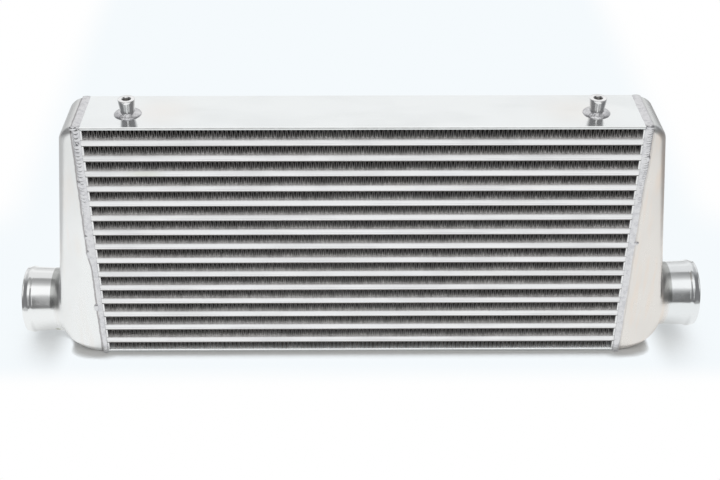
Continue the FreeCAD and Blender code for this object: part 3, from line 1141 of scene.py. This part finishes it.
    def skin(self, inset: float, start: float, grid: float, profile: list[Pair]) -> bpy.types.Mesh:
        """A closed skin: body and neck root from the distance, the neck's end turned from a profile.

        Args:
            inset: 0 for the outside, or the wall for the inside.
            start: X of the flat face at the joint.
            grid: Size of the skin's quads.
            profile: The neck's end as (x, radius) steps after the cut, out to its last ring.

        Returns:
            The closed mesh in the tank's own frame.
        """
        rough = self.rough_form(inset)
        remesh = rough.modifiers.new("skin", "REMESH")
        remesh.mode = "VOXEL"
        remesh.voxel_size = grid
        mesh = plain_mesh(rough)
        bpy.data.objects.remove(rough)
        form = bmesh.new()
        form.from_mesh(mesh)
        for place, inner in ((start, True), (self.lathe_start, False)):
            everything = form.verts[:] + form.edges[:] + form.faces[:]
            bmesh.ops.bisect_plane(
                form, geom=everything, dist=grid * self.cut_tolerance, plane_co=(place, 0.0, 0.0),
                plane_no=(1.0, 0.0, 0.0), clear_inner=inner, clear_outer=not inner,
            )
        rim = [vertex for vertex in form.verts if vertex.is_boundary]
        midway = (start + self.lathe_start) / 2
        for vertex in rim:
            vertex.co.x = start if vertex.co.x < midway else self.lathe_start
        points = np.array([vertex.co for vertex in form.verts])
        held = np.array([vertex.is_boundary for vertex in form.verts])
        for vertex, place in zip(form.verts, self.settle(points, inset, held)):
            vertex.co = place
        ring = [vertex for vertex in rim if vertex.co.x > midway]
        ring.sort(key=lambda vertex: math.atan2(vertex.co.z - self.neck_height, vertex.co.y))
        angles = [math.atan2(vertex.co.z - self.neck_height, vertex.co.y) for vertex in ring]
        for x, radius in profile:
            spots = [(x, radius * math.cos(a), self.neck_height + radius * math.sin(a)) for a in angles]
            following = [form.verts.new(spot) for spot in spots]
            band(form, ring, following)
            ring = following
        form.faces.new(ring)
        fill_holes(form)
        return keep_form(form, mesh)

    def neck_end(self) -> list[Pair]:
        """Profile of the neck from the lathe's start over its rolled bead to the rounded rim.

        Returns:
            X and radius of each step.
        """
        radius, bead = self.neck_radius, self.neck_reach - self.bead_setback
        places = [self.lathe_start + self.lathe_step * step for step in (1, 2, 3)]
        steps = [(x, radius - float(self.waist(x))) for x in places]
        outer = self.bead_setback - self.rim_clearance * self.rim_edge
        for step in range(self.bead_steps + 1):
            across = 2.0 * step / self.bead_steps - 1.0
            lift = self.bead_height * max(math.cos(across * math.pi / 2), 0.0) ** self.bead_power
            flank = self.bead_width / 2 if across < 0.0 else outer
            steps.append((bead + across * flank, radius + lift))
        edge = self.rim_edge
        for step in range(self.rim_steps + 1):
            angle = math.pi / 2 * step / self.rim_steps
            x = self.neck_reach - edge + edge * math.sin(angle)
            steps.append((x, radius - edge + edge * math.cos(angle)))
        return steps

    def bore_end(self) -> list[Pair]:
        """Profile of the bore from the lathe's start to past the rim, with a broken inner edge.

        Returns:
            X and radius of each step.
        """
        bore, edge = self.neck_radius - self.wall, self.rim_edge * self.bore_edge
        return [
            (self.neck_reach - edge, bore),
            (self.neck_reach, bore + edge),
            (self.neck_reach + self.overcut, bore + edge + self.overcut),
        ]

    def build(self) -> bpy.types.Object:
        """Make the casting and set it at its end of the core.

        Returns:
            The finished piece.
        """
        name = f"cast_tank_{self.side.word}"
        piece = new_object(name, self.skin(0.0, 0.0, self.grid, self.neck_end()))
        inside = self.skin(self.wall, -self.overcut, self.inner_grid, self.bore_end())
        hollow = new_object("hollow", inside)
        cut = piece.modifiers.new("hollow", "BOOLEAN")
        cut.operation = "DIFFERENCE"
        cut.solver = "MANIFOLD"
        cut.object = hollow
        mesh = plain_mesh(piece)
        piece.modifiers.clear()
        bpy.data.objects.remove(hollow)
        form = bmesh.new()
        form.from_mesh(mesh)
        sign = self.side.value
        for vertex in form.verts:
            vertex.co.x = sign * (vertex.co.x + self.joint)
        bmesh.ops.remove_doubles(form, verts=form.verts[:], dist=self.seam_gap)
        keep_form(form, mesh, self.sharp_degrees)
        coat(mesh, CastSkin.of(self.side).material())
        piece.data = mesh
        seat(piece, "cast_tank", f"{self.side.word}_tank")
        return piece


@dataclass
class RoundedBars:
    """Like bars or plates with rounded long edges, stacked at one pitch."""

    name: str
    slot: str
    nodes: tuple[str, ...]
    low: Vector
    high: Vector
    count: int = 1
    pitch: float = 0.0
    rounding: float = 0.8 * MM
    corner_steps: int = 4
    sharp_degrees: float = 40.0

    def build(self, material: bpy.types.Material) -> bpy.types.Object:
        """Make the stack from the box of its lowest bar.

        Args:
            material: The bars' material.

        Returns:
            The finished piece.
        """
        model = NodeModel(self.name)
        centre, size = (self.low + self.high) / 2, self.high - self.low
        length = model.number("Length", size.x)
        depth = model.number("Depth", size.y)
        height = model.number("Height", size.z)
        rounding = model.number("Rounding", self.rounding)
        count = model.number("Count", self.count)
        pitch = model.number("Pitch", self.pitch)
        section = model.shape("CurvePrimitiveQuadrilateral", {"Width": depth, "Height": height})
        section = model.rounded(section, self.corner_steps, rounding)
        ends = {"Start": model.point(x=length * -0.5), "End": model.point(x=length * 0.5)}
        line = model.facing(model.shape("CurvePrimitiveLine", ends), (0.0, 1.0, 0.0))
        bar = model.swept(line, section)
        steps = {"Count": count, "Start Location": tuple(centre), "Offset": model.point(z=pitch)}
        stack = model.shape("InstanceOnPoints", {0: model.shape("MeshLine", steps), 2: bar})
        piece = model.build(self.name, stack, material, smooth=True)
        piece.data.set_sharp_from_angle(angle=math.radians(self.sharp_degrees))
        seat(piece, self.slot, *self.nodes)
        return piece


@dataclass
class FinRow:
    """One ambient row: a strip folded up and down along the core, with flat crests brazed to the sheets."""

    number: int
    low: Vector
    high: Vector
    folds: int = 120
    gauge: float = 0.42 * MM
    crest: float = 1.25 * MM
    rounding: float = 0.55 * MM
    uneven: float = 0.07 * MM
    end_gap: float = 3.8 * MM
    corner_steps: int = 2

    def build(self, material: bpy.types.Material) -> bpy.types.Object:
        """Make the row in the box of its node.

        Args:
            material: The strip's material.

        Returns:
            The finished piece.
        """
        model = NodeModel(f"fin_row_{self.number:02d}")
        size = self.high - self.low
        run = model.number("Run", size.x - 2 * self.end_gap)
        height = model.number("Height", size.z - self.gauge)
        depth = model.number("Depth", size.y)
        gauge = model.number("Gauge", self.gauge)
        folds = model.number("Folds", self.folds)
        crest = model.number("Crest width", self.crest)
        rounding = model.number("Rounding", self.rounding)
        uneven = model.number("Unevenness", self.uneven)
        seed = model.number("Seed", self.number)
        place = model.shape("InputIndex")
        turn = (place / 2.0).whole()
        shift = model.scatter(uneven, seed, turn)
        x = turn * ((run - crest) / (folds * 2)) + (place % 2.0) * crest + shift + (self.low.x + self.end_gap)
        y = (self.low.y + self.high.y) / 2
        z = (turn % 2.0) * height + (self.low.z + self.gauge / 2)
        path = model.rounded(model.curve(folds * 4 + 2, model.point(x, y, z)), self.corner_steps, rounding)
        section = model.shape("CurvePrimitiveQuadrilateral", {"Width": depth, "Height": gauge})
        strip = model.swept(model.facing(path, (0.0, 1.0, 0.0)), section)
        piece = model.build(f"ambient_fins_{self.number:02d}", strip, material, smooth=False)
        seat(piece, "ambient_fin", f"air_fin_{self.number:02d}")
        return piece


@dataclass
class Bead:
    """How a bead of weld metal freezes: puddles that lap over each other along a path."""

    half_width: float
    height: float
    spacing: float
    ripple: float
    bow: float
    wander: float
    swell: float
    seed: int
    grain: float = 0.7 * MM
    round_steps: int = 19
    lap: float = 0.28
    puddle_drift: float = 1.6
    puddle_length: float = 9 * MM
    strength: float = 0.55
    strength_length: float = 14 * MM
    strength_across: float = 0.6
    ripple_gain: float = 1.4
    swell_length: float = 17 * MM
    wander_length: float = 24 * MM
    wander_gain: float = 1.5
    fray_length: float = 6 * MM

    def section(self, model: NodeModel, rises: Callable[[Value], tuple[Value, Value]]) -> Value:
        """A closed section, drawn from one toe over the crown to the other.

        Args:
            model: The tree that it is drawn in.
            rises: Gives both coordinates of a point from its angle, which runs from 0 to pi.

        Returns:
            The section, with each point's place across the bead stored from 1 to -1.
        """
        steps = self.round_steps
        angle = model.shape("InputIndex") * (math.pi / (steps - 1))
        first, second = rises(angle)
        curve = model.curve(steps, model.point(first, -second))
        curve = model.shape("SetSplineCyclic", {0: curve, "Cyclic": True})
        return model.store(curve, "across", angle.cosine())

    def lay(self, model: NodeModel, path: Value, section: Value, sideways: Value, calm: Value) -> Value:
        """Sweep the section along the path and raise the ripples.

        Args:
            model: The tree that the bead is made in.
            path: Its centre line.
            section: Its closed section.
            sideways: Direction across the bead.
            calm: How strongly the ripples show, from 0 to 1.

        Returns:
            The bead.
        """
        spacing = model.number("Spacing", self.spacing)
        ripple = model.number("Ripple", self.ripple)
        wander = model.number("Wander", self.wander)
        seed = model.number("Seed", self.seed)
        length = model.value("GeometryNodeSplineParameter", output="Length")
        path = model.store(path, "travel", length)
        bead = model.swept(path, section)
        travel, across = model.stored("travel"), model.stored("across")
        crown = 1.0 - across * across
        uneven = model.cloud(travel / self.puddle_length, 0.0, seed) * self.puddle_drift
        phase = (travel / spacing + uneven + crown * self.bow) % 1.0
        saw = (phase / self.lap).least((1.0 - phase) / (1.0 - self.lap))
        along = travel / self.strength_length
        strength = self.strength + model.cloud(along, across * self.strength_across, seed + 5)
        lift = saw * ripple * calm * strength * self.ripple_gain
        lift = lift + model.cloud(travel / self.swell_length, across, seed + 9) * self.swell
        aside = model.cloud(travel / self.wander_length, 0.0, seed + 2) * wander * self.wander_gain
        aside = aside + across * model.cloud(travel / self.fray_length, across, seed + 3) * wander
        normal = model.shape("InputNormal")
        shift = model.vector("ADD", model.along(normal, lift * crown), model.along(sideways, aside))
        return model.moved(bead, shift)


@dataclass
class CoreWeld:
    """The bead between a tank and the core: up the front, over the top and down the rear."""

    side: Side
    bead: Bead
    lumps: tuple[tuple[Point, Point], ...]
    craters: tuple[Point, ...] = ()
    centre: float = 0.3038
    half_depth: float = 0.038
    height: float = 0.300
    foot: float = 0.4 * MM
    corner: float = 3.0 * MM
    corner_steps: int = 6
    sink: float = 0.3 * MM
    roundness: float = 0.8
    top_sag: float = 0.5
    sag_roundness: float = 0.4
    bold_rise: Pair = (0.58, 0.74)
    top_rise: Pair = (-2 * MM, 4 * MM)
    rear_rise: Pair = (-6 * MM, 0.0)
    calm: float = 0.20
    bold: float = 0.75
    top_calm: float = 0.7
    rear_calm: float = 0.4
    crater_radius: float = 1.9 * MM
    crater_lip: float = 0.6 * MM

    @classmethod
    def of(cls, side: Side) -> "CoreWeld":
        """The left bead has bold puddles near its top, the right one fine and shallow ones.

        Args:
            side: The end of the core.

        Returns:
            The weld, with the lumps and the crater that the real one has.
        """
        if side is Side.LEFT:
            bead = Bead(
                half_width=4.5 * MM, height=1.95 * MM, spacing=4.4 * MM, ripple=0.75 * MM, bow=0.8,
                wander=0.8 * MM, swell=0.35 * MM, seed=3,
            )
            lumps = (
                ((-0.3065, -0.0384, 0.2995), (4.2 * MM, 2.2 * MM, 2.6 * MM)),
                ((-0.3071, -0.0385, 0.232), (2.4 * MM, 1.7 * MM, 4.5 * MM)),
                ((-0.3073, -0.0385, 0.163), (2.2 * MM, 1.7 * MM, 3.6 * MM)),
                ((-0.3074, -0.0385, 0.140), (2.2 * MM, 1.6 * MM, 6.0 * MM)),
                ((-0.3066, -0.0385, 0.066), (2.9 * MM, 1.8 * MM, 5.2 * MM)),
            )
            return cls(side, bead, lumps, ((-0.3036, -0.0400, 0.281),))
        bead = Bead(
            half_width=4.7 * MM, height=1.95 * MM, spacing=2.7 * MM, ripple=0.60 * MM, bow=0.6,
            wander=0.9 * MM, swell=0.35 * MM, seed=8,
        )
        lumps = (
            ((0.3040, -0.0384, 0.2995), (4.6 * MM, 2.2 * MM, 2.8 * MM)),
            ((0.3066, -0.0385, 0.262), (2.4 * MM, 1.6 * MM, 4.2 * MM)),
            ((0.3080, -0.0385, 0.153), (3.0 * MM, 1.6 * MM, 2.4 * MM)),
        )
        return cls(side, bead, lumps)

    def route(self, model: NodeModel) -> Value:
        """Centre line from the foot in front, over the top, to the foot behind.

        Args:
            model: The tree that it is drawn in.

        Returns:
            The curve, turned so that a section's first axis lies along the core.
        """
        place = model.shape("InputIndex")
        y = (place.over(1.5) * 2.0 - 1.0) * self.half_depth
        raised = (place - 1.5).absolute().over(1.0)
        z = self.height - raised * (self.height - self.foot)
        curve = model.curve(4, model.point(self.side.value * self.centre, y, z))
        curve = model.rounded(curve, self.corner_steps, self.corner)
        curve = model.shape("ResampleCurve", {0: curve, "Length": self.bead.grain}, mode="LENGTH")
        return model.facing(curve, (1.0, 0.0, 0.0))

    def build(self, material: bpy.types.Material) -> bpy.types.Object:
        """Make the bead.

        Args:
            material: The weld's material.

        Returns:
            The finished piece.
        """
        model = NodeModel(f"core_weld_{self.side.word}")
        width = model.number("Half width", self.bead.half_width)
        proud = model.number("Height", self.bead.height)

        def rises(angle: Value) -> tuple[Value, Value]:
            """Both coordinates of a point of the section, from one toe over the crown to the other."""
            return angle.cosine() * width, angle.sine() ** self.roundness * proud - self.sink

        section = self.bead.section(model, rises)
        travel = model.stored("travel")
        over = self.height + 2 * self.half_depth
        upper = travel.step(*(self.height * share for share in self.bold_rise))
        rear = travel.step(*(over + shift for shift in self.rear_rise))
        top = travel.step(*(self.height + shift for shift in self.top_rise)) * (1.0 - rear)
        calm = self.calm + upper * self.bold - top * self.top_calm - rear * self.rear_calm
        bead = self.bead.lay(model, self.route(model), section, model.point(1.0), calm)
        across = model.stored("across")
        sag = (1.0 - across * across).most(0.0) ** self.sag_roundness * top * proud * self.top_sag
        bead = model.moved(bead, model.point(0.0, 0.0, -sag))
        x, _, z = model.axes(model.shape("InputPosition"))
        outer = (x.absolute() - self.centre) / (width * 2.0) + 0.5
        drawn = ToeTaper.of(self.side).at(z) * outer.most(0.0) * -self.side.value
        parts = [model.moved(bead, model.point(drawn))]
        blob = model.shape("MeshUVSphere", {"Segments": 24, "Rings": 14, "Radius": 1.0})
        parts += [model.shape("Transform", {0: blob, 1: place, 3: radii}) for place, radii in self.lumps]
        rim, lip = model.circle(28, self.crater_radius), model.circle(10, self.crater_lip)
        ring = model.swept(rim, lip, capped=False)
        upright = model.turn(math.pi / 2)
        parts += [model.shape("Transform", {0: ring, 1: place, 2: upright}) for place in self.craters]
        piece = model.build(f"tank_weld_{self.side.word}", model.join(*parts), material, smooth=True)
        seat(piece, "weld_bead", f"{self.side.word}_core_weld")
        return piece


@dataclass
class BossWelds:
    """The ring of weld round each boss: high at the boss, rippled in front and smooth to the right."""

    centres: Pair
    lead: float
    level: float = 0.300
    foot: float = 7.8 * MM
    toe: float = 15 * MM
    height: float = 3.6 * MM
    puddles: int = 22
    path_steps: int = 110
    roundness: float = 0.45
    bold_side: Pair = (8 * MM, -4 * MM)
    calm: float = 0.25

    def build(self, material: bpy.types.Material) -> bpy.types.Object:
        """Make both rings.

        Args:
            material: The weld's material.

        Returns:
            The finished piece.
        """
        model = NodeModel("boss_weld_rings")
        middle = (self.foot + self.toe) / 2
        half = (self.toe - self.foot) / 2
        spacing = 2 * math.pi * middle / self.puddles
        bead = Bead(
            half_width=half, height=self.height, spacing=spacing, ripple=0.45 * MM, bow=1.2,
            wander=0.35 * MM, swell=0.2 * MM, seed=11,
        )
        proud = model.number("Height", self.height)
        path = model.facing(model.circle(self.path_steps, middle), (0.0, 0.0, 1.0))

        def rises(angle: Value) -> tuple[Value, Value]:
            """Both coordinates of a point of the section, from its inner edge to its toe.

            Args:
                angle: Place on the section, from 0 to pi.

            Returns:
                Height and distance from the middle.
            """
            inner = (angle.cosine() + 1.0) * 0.5
            rounded = (1.0 - (1.0 - inner) * (1.0 - inner)) ** 0.5
            mixed = rounded * self.roundness + inner * (1.0 - self.roundness)
            return mixed * proud, angle.cosine() * half

        section = bead.section(model, rises)
        place = model.shape("InputPosition")
        radial = model.vector("NORMALIZE", model.vector("MULTIPLY", place, (1.0, 1.0, 0.0)))
        calm = self.calm + model.axes(place)[0].step(*self.bold_side) * (1.0 - self.calm)
        ring = bead.lay(model, path, section, radial, calm)
        rings = [model.shape("Transform", {0: ring, 1: (x, self.lead, self.level)}) for x in self.centres]
        piece = model.build("boss_weld_rings", model.join(*rings), material, smooth=True)
        seat(piece, "weld_bead", "boss_welds")
        return piece


@dataclass
class TurnedBosses:
    """Two turned bosses with a flared head and a tapped hole."""

    centres: Pair
    lead: float
    level: float = 0.300
    height: float = 18 * MM
    foot: float = 8 * MM
    foot_height: float = 6 * MM
    head: float = 9.25 * MM
    head_height: float = 3 * MM
    bevel: float = 0.6 * MM
    blend: float = 0.5 * MM
    thread: float = 4.25 * MM
    thread_depth: float = 12 * MM
    thread_relief: float = 0.7 * MM
    thread_pitch: float = 1.5 * MM
    thread_bevel: float = 1.0 * MM
    segments: int = 64
    turn_steps: int = 6
    edge_steps: int = 4
    drill_point: float = 0.6
    sharp_degrees: float = 32.0

    def outside(self) -> list[Pair]:
        """Profile of a boss from its foot, up the flare and over the bevelled head.

        Returns:
            Radius and height of each step.
        """
        start, end = self.foot_height, self.height - self.head_height
        slope = (self.head - self.foot) / (end - start)
        steps = [
            (self.foot, 0.0),
            (self.foot, start - self.blend),
            (self.foot + slope * self.blend, start + self.blend),
            (self.head - slope * self.blend, end - self.blend),
            (self.head, end + self.blend),
        ]
        for step in range(self.edge_steps + 1):
            angle = math.pi / 2 * step / self.edge_steps
            rise = self.height - self.bevel + self.bevel * math.sin(angle)
            steps.append((self.head - self.bevel + self.bevel * math.cos(angle), rise))
        return steps

    def hole(self) -> list[tuple[float, float, bool]]:
        """Profile of the tapped hole from its mouth to its foot.

        Returns:
            Radius, height and whether the thread cuts there, for each step.
        """
        top = self.height
        steps = [
            (self.thread + self.thread_bevel, top, False),
            (self.thread + self.thread_relief / 2, top - self.thread_bevel, False),
        ]
        gap = self.thread_pitch / self.turn_steps
        count = int((self.thread_depth - 2 * self.thread_bevel) / gap)
        steps += [(self.thread, top - self.thread_bevel - gap * (step + 1), True) for step in range(count)]
        steps.append((self.thread, top - self.thread_depth, False))
        return steps

    def build(self, material: bpy.types.Material) -> bpy.types.Object:
        """Make both bosses.

        Args:
            material: The turned metal.

        Returns:
            The finished piece.
        """
        form = bmesh.new()
        profile = [(radius, rise, False) for radius, rise in self.outside()] + self.hole()
        for centre in self.centres:
            ring: list[bmesh.types.BMVert] = []
            for radius, rise, threaded in profile:
                following = []
                for index in range(self.segments):
                    share = index / self.segments
                    groove = abs(2.0 * ((rise / self.thread_pitch + share) % 1.0) - 1.0) if threaded else 0.0
                    reach = radius + groove * self.thread_relief
                    angle = 2.0 * math.pi * share
                    x, y = centre + reach * math.cos(angle), self.lead + reach * math.sin(angle)
                    following.append(form.verts.new((x, y, self.level + rise)))
                band(form, ring, following)
                ring = following
            deep = self.thread_depth + self.drill_point * self.thread
            tip = form.verts.new((centre, self.lead, self.level + self.height - deep))
            for index in range(len(ring)):
                form.faces.new((ring[index], ring[(index + 1) % len(ring)], tip))
        fill_holes(form)
        mesh = keep_form(form, bpy.data.meshes.new("turned_bosses"), self.sharp_degrees)
        coat(mesh, material)
        piece = new_object("turned_bosses", mesh)
        seat(piece, "turned_boss", "threaded_bosses")
        return piece


@dataclass
class Core:
    """The brazed stack: plates, bars and fins made anew, and the hidden pieces dressed as they are."""

    nodes: dict[str, bpy.types.Object]
    rows: int = 16
    plate_rounding: float = 0.9 * MM

    def build(self) -> None:
        """Make and dress every piece of the core."""
        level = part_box("charge_fin_01")
        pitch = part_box("charge_fin_02")[0].z - level[0].z
        plate = RolledPlate().material()
        bar = DrawnBar(level[0].z, pitch).material()
        row_low, row_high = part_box("air_fin_01")
        strip = FoldedStrip(row_low.z, row_high.z - row_low.z, pitch, row_high.y).material()
        for name in ("top", "bottom"):
            low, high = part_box(f"{name}_side_plate")
            RoundedBars(
                f"{name}_plate", "side_plate", (f"{name}_side_plate",), low, high,
                rounding=self.plate_rounding, corner_steps=1,
            ).build(plate)
        for face in Face:
            word = face.name.lower()
            low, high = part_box(f"{word}_long_bars")
            low.z, high.z = level[0].z, level[1].z
            nodes = (f"{word}_long_bars",)
            RoundedBars(f"{word}_bars", "brazed_bar", nodes, low, high, self.rows - 1, pitch).build(bar)
        for number in range(1, self.rows + 1):
            low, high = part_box(f"air_fin_{number:02d}")
            FinRow(number, low, high).build(strip)
        self.dress(bar, "left_header_bars", "right_header_bars")
        self.dress(strip, "parting_sheets", *(f"charge_fin_{number:02d}" for number in range(1, self.rows)))

    def dress(self, material: bpy.types.Material, *names: str) -> None:
        """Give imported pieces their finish.

        Args:
            material: The finish.
            names: The nodes that get it.
        """
        for name in names:
            coat(self.nodes[name].data, material)
        LOG.info("dressed %s", ", ".join(names))


@dataclass
class Studio:
    """White table, bright room and the camera that the part is seen with."""

    paper: Colour = (0.54, 0.54, 0.53)
    backdrop: Colour = (0.913, 0.956, 0.982)
    blank: Colour = (1.0, 1.0, 1.0)
    blank_front: Pair = (-0.058, -0.105)
    blank_side: Pair = (0.44, 0.52)
    blank_rear: Pair = (0.18, 0.32)
    # What the part mirrors of the table: near it, and far out to the left and to the right.
    mirrored: Colour = (0.94, 0.95, 0.95)
    mirrored_left: Colour = (0.56, 0.565, 0.57)
    mirrored_right: Colour = (0.36, 0.36, 0.36)
    far_edge: Pair = (0.58, 0.68)
    far_centre: float = 0.04
    table_reach: float = 8.0
    shade_samples: int = 8
    contact_reach: float = 15 * MM
    contact_shade: Pair = (0.99, 0.80)
    contact_edge: Pair = (0.372, 0.342)
    near_reach: float = 70 * MM
    near_shade: Pair = (0.95, 0.35)
    near_share: float = 0.60
    # Brightness of the room, from 0 at the horizon in front, over 0.5 overhead, to 1 behind.
    room: tuple[Pair, ...] = (
        (0.0, 0.18), (0.15, 0.19), (0.205, 0.34), (0.245, 0.60), (0.285, 1.06), (0.430, 1.06),
        (0.458, 0.86), (0.480, 0.66), (0.530, 0.46), (0.592, 0.35), (0.625, 0.34), (0.645, 0.84),
        (0.79, 0.86), (0.83, 0.97), (0.87, 0.94), (0.90, 0.78), (1.0, 0.74),
    )
    window_edge: Pair = (0.13, 0.10)
    window_foot: Pair = (0.05, 0.07)
    window_top: float = 0.23
    side_edge: Pair = (0.42, 0.62)
    side_turn: Pair = (0.1, 0.6)
    side_front: Colour = (0.21, 0.21, 0.215)
    side_rear: Colour = (0.58, 0.585, 0.59)
    lamp_energy: float = 1.0
    lamp_spread: float = math.radians(40)
    lamp_tilt: Point = (math.radians(38), math.radians(4), 0.0)
    lens: float = 61.1
    eye: Point = (-0.0262, -1.1857, 0.9014)
    pitch: float = math.radians(33.05)
    yaw: float = math.radians(0.289)
    centre_px: Pair = (343.5, 242.6)
    frame_px: Pair = (720.0, 480.0)
    sensor: float = 36.0

    def closeness(self, graph: Graph, reach: float) -> Value:
        """How open the table lies to the room, from 0 close under the part to 1."""
        inputs = {"Distance": reach}
        return graph.value("ShaderNodeAmbientOcclusion", {"samples": self.shade_samples}, inputs, "AO")

    def table(self) -> bpy.types.Object:
        """White table whose shade shows only close to the part.

        Returns:
            The table, which isn't a piece of the part.
        """
        reach = self.table_reach
        mesh = bpy.data.meshes.new("table")
        corners = [(-reach, -reach, 0.0), (reach, -reach, 0.0), (reach, reach, 0.0), (-reach, reach, 0.0)]
        mesh.from_pydata(corners, [], [(0, 1, 2, 3)])
        material = bpy.data.materials.new("paper")
        material.use_nodes = True
        graph = Graph(material.node_tree)
        graph.tree.nodes.clear()
        x, y, _ = graph.axes(graph.value("ShaderNodeTexCoord", output="Object"))
        aside = x.absolute()
        blank = y.step(*self.blank_front).most(aside.step(*self.blank_side) * y.step(*self.blank_rear))
        paper = graph.mix(blank, self.backdrop, self.blank)
        far = graph.mix(x.over(0.0), self.mirrored_left, self.mirrored_right)
        far = graph.mix((x - self.far_centre).absolute().step(*self.far_edge), self.mirrored, far)
        colour = graph.mix(graph.value("ShaderNodeLightPath", output="Is Glossy Ray"), paper, far)
        matt = graph.value("ShaderNodeBsdfDiffuse", inputs={"Color": (*self.paper, 1.0)})
        glow = graph.value("ShaderNodeEmission", inputs={"Color": colour, "Strength": 1.0})
        under = aside.step(*self.contact_edge)
        contact = self.closeness(graph, self.contact_reach).step(*self.contact_shade) * under
        near = self.closeness(graph, self.near_reach).step(*self.near_shade) * self.near_share
        shade = contact + near * (1.0 - under)
        light = graph.value("ShaderNodeMixShader", inputs={0: shade, 1: glow, 2: matt})
        graph.node("ShaderNodeOutputMaterial", inputs={"Surface": light})
        coat(mesh, material)
        floor = new_object("table", mesh)
        return floor

    def light(self) -> None:
        """A bright room in bands, with a window in front and darker walls at both ends."""
        world = bpy.data.worlds.new("studio")
        bpy.context.scene.world = world
        world.use_nodes = True
        graph = Graph(world.node_tree)
        graph.tree.nodes.clear()
        x, y, z = graph.axes(graph.value("ShaderNodeTexCoord", output="Generated"))
        angle = graph.value("ShaderNodeMath", {"operation": "ARCTAN2"}, {0: z, 1: -y}) / math.pi
        bands = graph.value("ShaderNodeValToRGB", {"stops": self.room}, {0: angle})
        window = x.absolute().step(*self.window_edge) * angle.step(*self.window_foot)
        bands = graph.mix(window * (1.0 - angle.over(self.window_top)), bands, self.blank)
        side = graph.mix(y.step(*self.side_turn), self.side_front, self.side_rear)
        seen = graph.mix(x.absolute().step(*self.side_edge), bands, side)
        colour = graph.mix(graph.value("ShaderNodeLightPath", output="Is Camera Ray"), seen, self.backdrop)
        back = graph.value("ShaderNodeBackground", inputs={"Color": colour, "Strength": 1.0})
        graph.node("ShaderNodeOutputWorld", inputs={"Surface": back})
        lamp = bpy.data.lights.new("overhead", "SUN")
        lamp.energy = self.lamp_energy
        lamp.angle = self.lamp_spread
        sun = new_object("overhead", lamp)
        sun.rotation_euler = self.lamp_tilt
        sun.visible_glossy = False

    def camera(self) -> None:
        """The camera of the photograph's view."""
        data = bpy.data.cameras.new("camera")
        data.lens = self.lens
        data.sensor_width = self.sensor
        wide, tall = self.frame_px
        data.shift_x = (wide / 2 - self.centre_px[0]) / wide
        data.shift_y = (self.centre_px[1] - tall / 2) / wide
        camera = new_object("camera", data)
        camera.location = self.eye
        camera.rotation_euler = (math.pi / 2 - self.pitch, 0.0, -self.yaw)
        bpy.context.scene.camera = camera

    def build(self) -> None:
        """Set up the whole studio."""
        self.table()
        self.light()
        self.camera()
        bpy.context.scene.view_settings.view_transform = "Standard"


def boss_places() -> tuple[Pair, float]:
    """Where the two bosses stand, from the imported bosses' box.

    Returns:
        X of each boss axis, left then right, and the Y that they share.
    """
    low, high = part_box("threaded_bosses")
    head = (high.y - low.y) / 2
    return (low.x + head, high.x - head), (low.y + high.y) / 2


def main() -> None:
    """Build the dressed intercooler and its studio."""
    logging.basicConfig(level=logging.INFO, format="%(message)s")
    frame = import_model()
    Core(frame["nodes"]).build()
    for side in Side:
        CastTank(side, NECK_HEIGHTS[side]).build()
    weld = WeldMetal().material()
    for side in Side:
        CoreWeld.of(side).build(weld)
    centres, lead = boss_places()
    BossWelds(centres, lead).build(weld)
    TurnedBosses(centres, lead).build(TurnedMetal(centres, lead).material())
    Studio().build()


if __name__ == "__main__":
    main()
